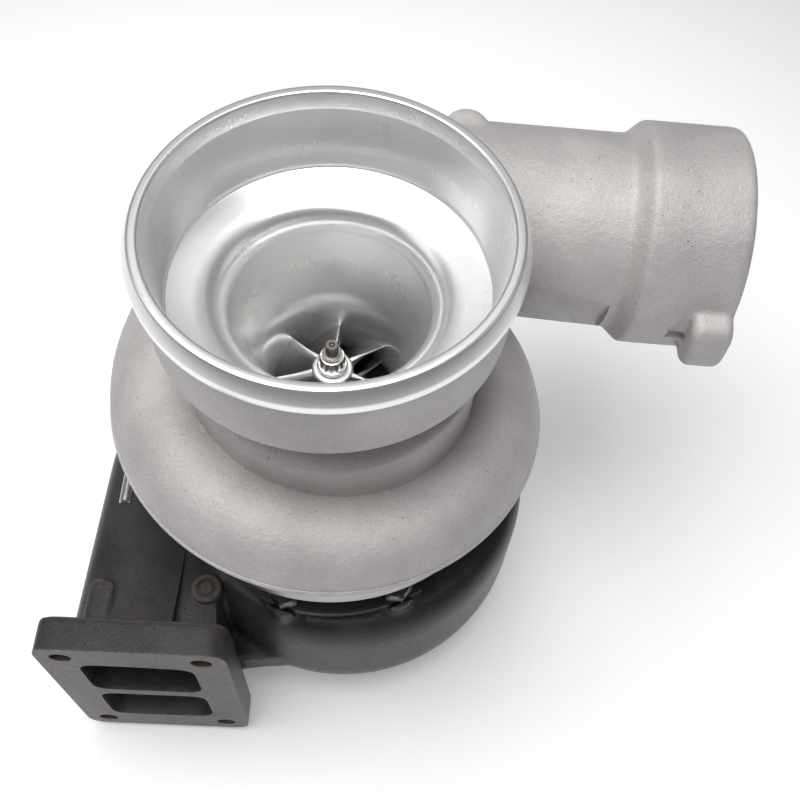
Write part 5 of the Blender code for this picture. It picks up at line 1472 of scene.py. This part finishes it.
    def bore(self) -> Shape:
        """Everything turned out: clamp face, bearing seat, shield shelf, wheel space and outlet."""
        share = np.linspace(0.0, 1.0, 14)
        shroud = bezier([(30.4, -6.4), (27.4, -9.1), (26.4, -13.6), (26.4, -28.0)], share)
        profile = [(0.0, 60.0), (68.0, 60.0), (68.0, 33.2), (57.3, 33.2), (57.3, 28.0), (41.0, 28.0),
                   (41.0, 9.0), (38.0, 9.0),
                   (38.0, 6.4), (49.6, 6.4), (49.6, 1.5), (31.5, 1.5), (31.5, -1.5), (49.6, -1.5),
                   (49.6, -6.4), *shroud,
                   (31.0, -51.0), (31.0, -56.4), (31.6, -57.0), (31.6, -70.0), (0.0, -70.0)]
        return turned(np.array(profile) * MM, 160, 0.01)

    def box(self, low: Point, high: Point) -> Shape:
        """A block between two corners."""
        return prism(oblong(low[:2], high[:2]), low[2], high[2])

    def flange_holes(self) -> list[Shape]:
        """The flange's four bolt holes."""
        places = [self.flange_place().moved(sx * self.bolt_half[0], sz * self.bolt_half[1])
                  for sx in (-1, 1) for sz in (-1, 1)]
        return [rod(self.bolt_hole, -2 * MM, self.bolt_hole_depth, place) for place in places]

    def machine_leg(self, made: bpy.types.Object) -> None:
        """Cut the step into the leg's top, weld the boss on and give it its dimple and stub.

        Args:
            made: The casting.
        """
        left, right = self.step_span
        step = self.box((left - AXIS_X, self.flange_thickness - AXIS_Y, self.step_floor),
                        (right - AXIS_X, self.step_end - AXIS_Y, 60 * MM))
        machine(made, [step])
        machine(made, [self.post(self.boss_radius, 10 * MM, self.boss_top, 0.5 * MM)], Work.WELD)
        machine(made, [self.post(self.dimple_radius, self.dimple_floor, 36 * MM)])
        machine(made, [self.post(self.stub_radius, 30 * MM, self.stub_top, 0.3 * MM)], Work.WELD)

    def paint_machined(self, made: bpy.types.Object) -> None:
        """Give the flange's face and the turned faces their own finishes.

        Args:
            made: The machined casting.
        """
        centres, normals = face_centres(made)
        reach, height = np.hypot(centres[:, 0], centres[:, 1]), centres[:, 2]
        milled = (centres[:, 1] < -AXIS_Y + 0.01 * MM) & (normals[:, 1] < -0.99)
        seat = (reach < 41.1 * MM) & (height > 8.9 * MM) & (height < self.deck_z - 0.1 * MM)
        outlet = height < self.outlet_z + 0.01 * MM
        deck = (np.abs(height - self.deck_z) < 0.02 * MM) & (normals[:, 2] > 0.99)
        bored = (reach < 31.8 * MM) | seat | outlet | deck
        paint(made, np.where(milled, 1, np.where(bored, 2, 0)))

    def build(self) -> None:
        """Cast the housing, machine it and paint the machined faces."""
        shapes = [self.body(), self.drum(), self.flange(), *self.extras()]
        made = cast("turbine_casting", shapes, self.grain, self.rounds)
        self.machine_leg(made)
        big = 0.2
        face = self.box((-big, -AXIS_Y - 30 * MM, -big), (big, -AXIS_Y, big))
        foot = self.box((-big, -big, self.outlet_z - 30 * MM), (big, big, self.outlet_z))
        machine(made, [face, foot, self.bore(), self.passage(1), self.passage(-1), *self.flange_holes()])
        shade(made, 36.0)
        self.paint_machined(made)
        dress(made, Body.HOUSING, Slot.CAST_IRON, [IRON_CAST, IRON_MILLED, IRON_BORE], "turbine_housing")


@dataclass
class BearingHousing:
    """Cast iron centre housing with an oil inlet pad behind and an oil drain pad in front."""

    grain: float = 1.2 * MM
    rounds: int = 5
    port_z: float = 45.5 * MM
    pad_height: float = 22.0 * MM
    inlet_width: float = 36.0 * MM
    inlet_reach: float = 40.0 * MM
    inlet_spacing: float = 25.4 * MM
    drain_width: float = 50.0 * MM
    drain_reach: float = 42.0 * MM
    drain_spacing: float = 38.1 * MM

    def pad(self, width: float, reach: float, side: int) -> Shape:
        """Block of a pad, left long for the facing cut.

        Args:
            width: Across the pad.
            reach: From the axis to its face.
            side: -1 or 1.

        Returns:
            The shape.
        """
        half, tall = width / 2, self.pad_height / 2
        outline = rounded(oblong((-half, -tall), (half, tall)), np.full(4, tall / 2), 8)
        return prism(outline, 10 * MM, reach + 4 * MM, self.side_place(side))

    def side_place(self, side: int) -> Place:
        """Axes of a pad: Z out of the housing."""
        return Place((0.0, 0.0, self.port_z), (float(-side), 0.0, 0.0), (0.0, 0.0, 1.0),
                     (0.0, float(side), 0.0))

    def build(self) -> None:
        """Cast the housing and machine its bores, pads and faces."""
        profile = np.array([(0.0, 11.0), (12.8, 11.0), (12.8, 14.6), (32.2, 14.6), (34.2, 11.0),
                            (40.7, 11.0), (40.7, 28.3), (57.0, 28.3),
                            (57.0, 33.3), (48.0, 33.3), (33.5, 34.3), (29.0, 36.0), (27.0, 39.5),
                            (27.0, 55.0), (29.0, 59.0),
                            (33.0, 61.2), (44.5, 61.2), (44.5, 71.0), (0.0, 71.0)]) * MM
        pads = [self.pad(self.inlet_width, self.inlet_reach, 1),
                self.pad(self.drain_width, self.drain_reach, -1)]
        made = cast("bearing_casting", [turned(profile, 128), *pads], self.grain, self.rounds)
        big = 0.1
        outline = oblong((-big, -big), (big, big))
        back, front = self.side_place(1), self.side_place(-1)
        cuts = [prism(outline, self.inlet_reach, 80 * MM, back),
                prism(outline, self.drain_reach, 80 * MM, front),
                prism(outline, 67.7 * MM, 90 * MM)]
        cuts += [rod(3.5 * MM, 5 * MM, 60 * MM, back), rod(8 * MM, 5 * MM, 60 * MM, front)]
        for place, spacing, reach in ((back, self.inlet_spacing, self.inlet_reach),
                                      (front, self.drain_spacing, self.drain_reach)):
            for sign in (-1, 1):
                hole = place.moved(sign * spacing / 2, 0.0)
                cuts.append(rod(3.3 * MM, reach - 12 * MM, reach + 9 * MM, hole))
        bore = np.array([(0.0, 5.0), (8.8, 5.0), (8.8, 19.0), (9.5, 19.0), (9.5, 53.7), (13.0, 53.7),
                         (13.0, 57.6), (20.0, 57.6),
                         (20.0, 66.3), (23.0, 66.3), (23.0, 75.0), (0.0, 75.0)]) * MM
        cuts.append(turned(bore, 96, 0.02))
        machine(made, cuts)
        shade(made, 36.0)
        centres, normals = face_centres(made)
        milled = (np.abs(centres[:, 1] - self.inlet_reach) < 0.01 * MM)
        milled |= (np.abs(centres[:, 1] + self.drain_reach) < 0.01 * MM)
        paint(made, (milled & (np.abs(normals[:, 1]) > 0.99)).astype(int))
        dress(made, Body.HOUSING, Slot.CAST_IRON, [IRON_CAST, IRON_MILLED], "bearing_housing")


# Clamps and bolts


def hex_bolt(place: Place, across: float, head: float, shank: float, depth: float) -> Shape:
    """A bolt: rings whose radius is a hexagon's, held in by a cone at the top and a round washer face.

    Args:
        place: Under the head, with Z along the head.
        across: Radius to the head's corners.
        head: Height of the head.
        shank: Radius of the shank.
        depth: Length of the shank.

    Returns:
        The closed shape.
    """
    angle = np.linspace(0.0, FULL, 96, endpoint=False)
    flat = across * math.cos(math.pi / 6)
    hexagon = flat / np.cos(angle % (math.pi / 3) - math.pi / 6)
    rows = [(shank - 0.4 * MM, -depth, 0), (shank, -depth + 0.4 * MM, 0), (shank, 0.0, 0),
            (flat * 0.96, 0.0, 0),
            (flat * 0.96, 0.35 * MM, 0), (across, 0.4 * MM, 1), (across, head - 0.9 * MM, 1),
            (flat * 0.94, head, 1),
            (flat * 0.5, head + 0.02 * MM, 0)]
    return skin(place.put(spanner_rings(rows, hexagon, angle)))


@dataclass
class ClampPlates:
    """Three arc plates with two bolts each, which hold the bearing housing down."""

    mids: tuple[float, ...] = (-84.0, 36.0, 156.0)
    bolt_angle: float = 20.0
    reach: float = 28.0
    inner: float = 50.0 * MM
    outer: float = 66.5 * MM
    low: float = 33.6 * MM
    high: float = 37.6 * MM
    bolt_circle: float = 61.5 * MM

    def plate(self, mid: float) -> Shape:
        """An arc plate: a bevelled oblong carried round the rotor axis.

        Args:
            mid: Middle angle in degrees.

        Returns:
            The shape.
        """
        corners = oblong((self.inner, self.low), (self.outer, self.high))
        section = rounded(corners, np.array([0.4, 0.4, 0.8, 0.8]) * MM, 4)
        angle = np.radians(np.linspace(mid - self.reach, mid + self.reach, 40))[:, None]
        return skin(around(section[:, 0], angle, section[:, 1]))

    def build(self) -> None:
        """Make the plates and the bolts."""
        number = 0
        for index, mid in enumerate(self.mids):
            plate = f"clamp_plate_{index + 1}"
            plain_piece(f"clamp_arc_{index + 1}", [self.plate(mid)], Slot.DARK_STEEL, STEEL_DARK, plate)
            for side in (-1, 1):
                number += 1
                angle = math.radians(mid + side * self.bolt_angle)
                place = standing(angle, self.bolt_circle, self.high + 0.3 * MM)
                bolt = hex_bolt(place, 6.4 * MM, 5 * MM, 3.3 * MM, 16 * MM)
                plain_piece(f"clamp_hex_{number}", [bolt], Slot.STEEL, STEEL_BOLT, f"clamp_bolt_{number}")


@dataclass
class BackPlate:
    """Aluminium plate behind the compressor wheel, with four bolts from below."""

    bolt_angles: tuple[float, ...] = (30.0, 150.0, 210.0, 330.0)
    bolt_circle: float = 38.0 * MM
    head_z: float = 60.9 * MM

    def build(self) -> None:
        """Make the plate and its bolts."""
        profile = np.array([(9.4, 68.0), (46.0, 68.0), (46.0, 58.1), (67.5, 58.1), (67.5, 61.7),
                            (55.4, 61.7), (55.4, 67.0),
                            (52.5, 67.0), (52.5, 70.2), (55.4, 70.2), (55.4, 75.2), (31.9, 75.2),
                            (31.9, 72.0), (9.4, 72.0)]) * MM
        plate = turned(rounded(profile, np.full(len(profile), 0.3 * MM), 3), 192)
        plain_piece("back_plate_turning", [plate], Slot.CAST_ALUMINIUM, ALUMINIUM_TURNED,
                    "compressor_back_plate")
        for index, degrees in enumerate(self.bolt_angles):
            c, s = math.cos(math.radians(degrees)), math.sin(math.radians(degrees))
            origin = (self.bolt_circle * c, self.bolt_circle * s, self.head_z)
            place = Place(origin, (c, s, 0.0), (s, -c, 0.0), (0.0, 0.0, -1.0))
            bolt = hex_bolt(place, 5.2 * MM, 4 * MM, 2.8 * MM, 9 * MM)
            node = f"back_plate_bolt_{index + 1}"
            plain_piece(f"back_plate_hex_{index + 1}", [bolt], Slot.STEEL, STEEL_BRIGHT, node)


@dataclass
class BandClamp:
    """V-band clamp: a split channel with an ear at each end, a T-bolt and its nut."""

    inside: float = 67.8 * MM
    thickness: float = 1.5 * MM
    lip: float = 63.9 * MM
    half: float = 4.05 * MM
    middle: float = 61.85 * MM
    opening: float = math.radians(13.0)
    ear_reach: float = 11.5 * MM
    ear_length: float = 6.5 * MM
    bolt_x: float = -75.6 * MM
    bolt_radius: float = 2.2 * MM
    bolt_head: float = 3.4 * MM
    free_end: float = -36.0 * MM

    def band(self) -> Shape:
        """The channel: its section carried round the rotor axis, short of the opening."""
        outside, far = self.inside + self.thickness, self.half + self.thickness
        corners = np.array([(self.lip, -far), (outside, -far), (outside, far), (self.lip, far),
                            (self.lip, self.half),
                            (self.inside, self.half), (self.inside, -self.half), (self.lip, -self.half)])
        section = rounded(corners, np.array([0.5, 1.8, 1.8, 0.5, 0.5, 0.6, 0.6, 0.5]) * MM, 6)
        last = math.pi - self.opening / 2
        angle = np.linspace(-last, last, 200)[:, None]
        return skin(around(section[:, 0], angle, self.middle + section[:, 1]))

    def ear(self, side: int) -> Shape:
        """A rounded block at an end of the band.

        Args:
            side: -1 or 1.

        Returns:
            The shape.
        """
        outside, far = self.inside + self.thickness, self.half + self.thickness
        corners = oblong((-outside - self.ear_reach, -far), (-outside + 0.8 * MM, far))
        outline = rounded(corners, np.array([0.9 * far, 0.5 * MM, 0.5 * MM, 0.9 * far]), 8)
        first = outside * math.sin(self.opening / 2)
        place = Place((0.0, side * first, self.middle), (1.0, 0.0, 0.0), (0.0, 0.0, 1.0),
                      (0.0, float(side), 0.0))
        return prism(outline, 0.0, self.ear_length, place, 0.5 * MM)

    def build(self) -> None:
        """Make the band, the T-bolt and the nut."""
        band = [self.band(), self.ear(-1), self.ear(1)]
        plain_piece("clamp_band", band, Slot.STEEL, STEEL_BAND, "v_band_clamp")
        first = (self.inside + self.thickness) * math.sin(self.opening / 2)
        seat = first + self.ear_length + 0.3 * MM
        along = Place((self.bolt_x, 0.0, self.middle), (1.0, 0.0, 0.0), (0.0, 0.0, -1.0), (0.0, 1.0, 0.0))
        head = UPRIGHT.moved(self.bolt_x, seat + self.bolt_head, self.middle)
        stem = rod(self.bolt_radius, self.free_end, seat + self.bolt_head, along, 0.5 * MM)
        bolt = [stem, rod(self.bolt_head, -self.half, self.half, head, 0.5 * MM)]
        plain_piece("t_bolt_bar", bolt, Slot.STEEL, STEEL_BRIGHT, "t_bolt")
        nut_place = Place((self.bolt_x, -seat, self.middle), (1.0, 0.0, 0.0), (0.0, 0.0, 1.0),
                          (0.0, -1.0, 0.0))
        nut = hex_bolt(nut_place, 4.6 * MM, 5 * MM, 2.5 * MM, 0.5 * MM)
        plain_piece("t_bolt_hex", [nut], Slot.STEEL, STEEL_BRIGHT, "t_bolt_nut")


# Nodes that stay as they are


@dataclass
class InnerPieces:
    """CAD nodes whose shape is right, each with its own finish."""

    finishes: dict = field(default_factory=lambda: {
        "back_plate_seal_ring": SEAL_RUBBER, "turbine_journal_bearing": BEARING_BRONZE,
        "compressor_journal_bearing": BEARING_BRONZE, "journal_spacer": STEEL_TURNED,
                                                    "retaining_ring_1": STEEL_DARK,
        "retaining_ring_2": STEEL_DARK, "thrust_bearing": BEARING_BRONZE, "oil_seal_plate": STEEL_DARK,
        "turbine_piston_ring": STEEL_DARK, "compressor_piston_ring": STEEL_DARK, "heat_shield": STEEL_DARK,
        "thrust_washer": STEEL_TURNED, "flinger_sleeve": STEEL_TURNED})

    def dress(self, nodes: dict) -> None:
        """Put each finish on its node.

        Args:
            made: The piece.
            body: What it moves with.
            slot: Its material slot.
            finishes: Its finishes.
            nodes: CAD nodes.

        Returns:
            The piece.
        """
        for name, finish in self.finishes.items():
            mesh = nodes[name].data
            mesh.materials.clear()
            mesh.materials.append(finish.material())
            LOG.info("%s: finished as %s", name, finish.name)


# Studio


@dataclass(frozen=True)
class Panel:
    """A soft light panel, in metres and watts."""

    name: str
    place: Point
    size: tuple[float, float]
    power: float


@dataclass
class Studio:
    """Camera at the photograph's place, a floor with a painted glow near the part and painted shade far out,
    and soft light.
    """

    eye: tuple[float, float, float] = (84.9 * MM, -103.2 * MM, 399.8 * MM)
    yaw: float = math.radians(2.34)
    pitch: float = math.radians(58.43)
    roll: float = math.radians(4.79)
    focal: float = 987.0
    image: float = 800.0
    sensor: float = 36.0
    floor_z: float = -57.0 * MM
    floor_reach: float = 3.0
    aim: Point = (AXIS_X, AXIS_Y, 80 * MM)
    surround: float = 0.16
    panels: tuple[Panel, ...] = (
        Panel("top_panel", (-0.1, -0.02, 1.25), (0.9, 0.9), 16.0),
        Panel("back_panel", (0.0, 1.05, 1.25), (1.3, 0.9), 1.1),
        Panel("left_panel", (-1.0, 0.1, 0.8), (0.7, 0.7), 1.5),
        Panel("right_panel", (1.1, 0.25, 0.7), (0.5, 0.5), 0.4))

    def camera(self) -> None:
        """Set the camera from its yaw, downward pitch and roll."""
        level = math.cos(self.pitch)
        forward = np.array([math.sin(self.yaw) * level, math.cos(self.yaw) * level, -math.sin(self.pitch)])
        right = np.cross(forward, (0.0, 0.0, 1.0))
        right /= np.linalg.norm(right)
        up = np.cross(right, forward)
        x = math.cos(self.roll) * right + math.sin(self.roll) * up
        y = -math.sin(self.roll) * right + math.cos(self.roll) * up
        data = bpy.data.cameras.new("camera")
        data.sensor_width = self.sensor
        data.lens = self.focal / self.image * self.sensor
        data.clip_start = 0.01
        made = bpy.data.objects.new("camera", data)
        turn = Matrix(np.column_stack([x, y, -forward]).tolist()).to_4x4()
        made.matrix_world = Matrix.Translation(self.eye) @ turn
        bpy.context.scene.collection.objects.link(made)
        bpy.context.scene.camera = made

    def light(self, panel: Panel) -> None:
        """A soft panel that faces the part's middle.

        Args:
            panel: The panel's place, size and power.
        """
        data = bpy.data.lights.new(panel.name, "AREA")
        data.shape = "RECTANGLE"
        data.size, data.size_y = panel.size
        data.energy = panel.power
        made = bpy.data.objects.new(panel.name, data)
        turn = (Vector(panel.place) - Vector(self.aim)).to_track_quat("Z", "Y").to_matrix().to_4x4()
        made.matrix_world = Matrix.Translation(panel.place) @ turn
        bpy.context.scene.collection.objects.link(made)

    def floor(self) -> None:
        """A wide floor under the turbine outlet: pale near the part and glowing there as painted light, and
        darker far out as painted shade.
        """
        far = self.floor_reach
        points = np.column_stack([oblong((-far, -far), (far, far)), np.full(4, self.floor_z - 0.1 * MM)])
        mesh = bpy.data.meshes.new("floor")
        mesh.from_pydata(points.tolist(), [], [(0, 1, 2, 3)])
        made = bpy.data.objects.new("floor", mesh)
        bpy.context.scene.collection.objects.link(made)
        nodes = Nodes("floor_glow_and_shade")
        reach, _, _ = nodes.round_place(nodes.object_place(), (AXIS_X, AXIS_Y, 0.0))
        # Painted shade: the floor darkens from 0.4 m out to 1.3 m, so the far floor throws less light back.
        colour = nodes.mix(nodes.span(reach, 0.4, 1.3, 0.0, 1.0), (0.88, 0.88, 0.88), (0.36, 0.36, 0.36))
        # Painted light: near the part the floor glows, though it is no lamp.
        glow = nodes.span(reach, 0.35, 0.9, 0.2, 0.0)
        nodes.shine(Base_Color=colour, Roughness=0.9, Emission_Color=(1.0, 1.0, 1.0, 1.0),
                    Emission_Strength=glow)
        mesh.materials.append(nodes.material)

    def build(self) -> None:
        """Set camera, floor, lights and surroundings."""
        self.camera()
        self.floor()
        for panel in self.panels:
            self.light(panel)
        world = bpy.data.worlds.new("surroundings")
        bpy.context.scene.world = world
        world.use_nodes = True
        background = world.node_tree.nodes["Background"]
        background.inputs["Color"].default_value = (1.0, 1.0, 1.0, 1.0)
        background.inputs["Strength"].default_value = self.surround
        bpy.context.scene.view_settings.view_transform = "Standard"


def main() -> None:
    """Build the looks round the frame."""
    logging.basicConfig(level=logging.INFO, format="%(name)s %(message)s")
    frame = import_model()
    Studio().build()
    for assembly in (CompressorHousing, CompressorWheel, ShaftNut, TurbineRotor, TurbineHousing,
                     BearingHousing, ClampPlates, BackPlate, BandClamp):
        assembly().build()
    InnerPieces().dress(frame["nodes"])


if __name__ == "__main__":
    main()
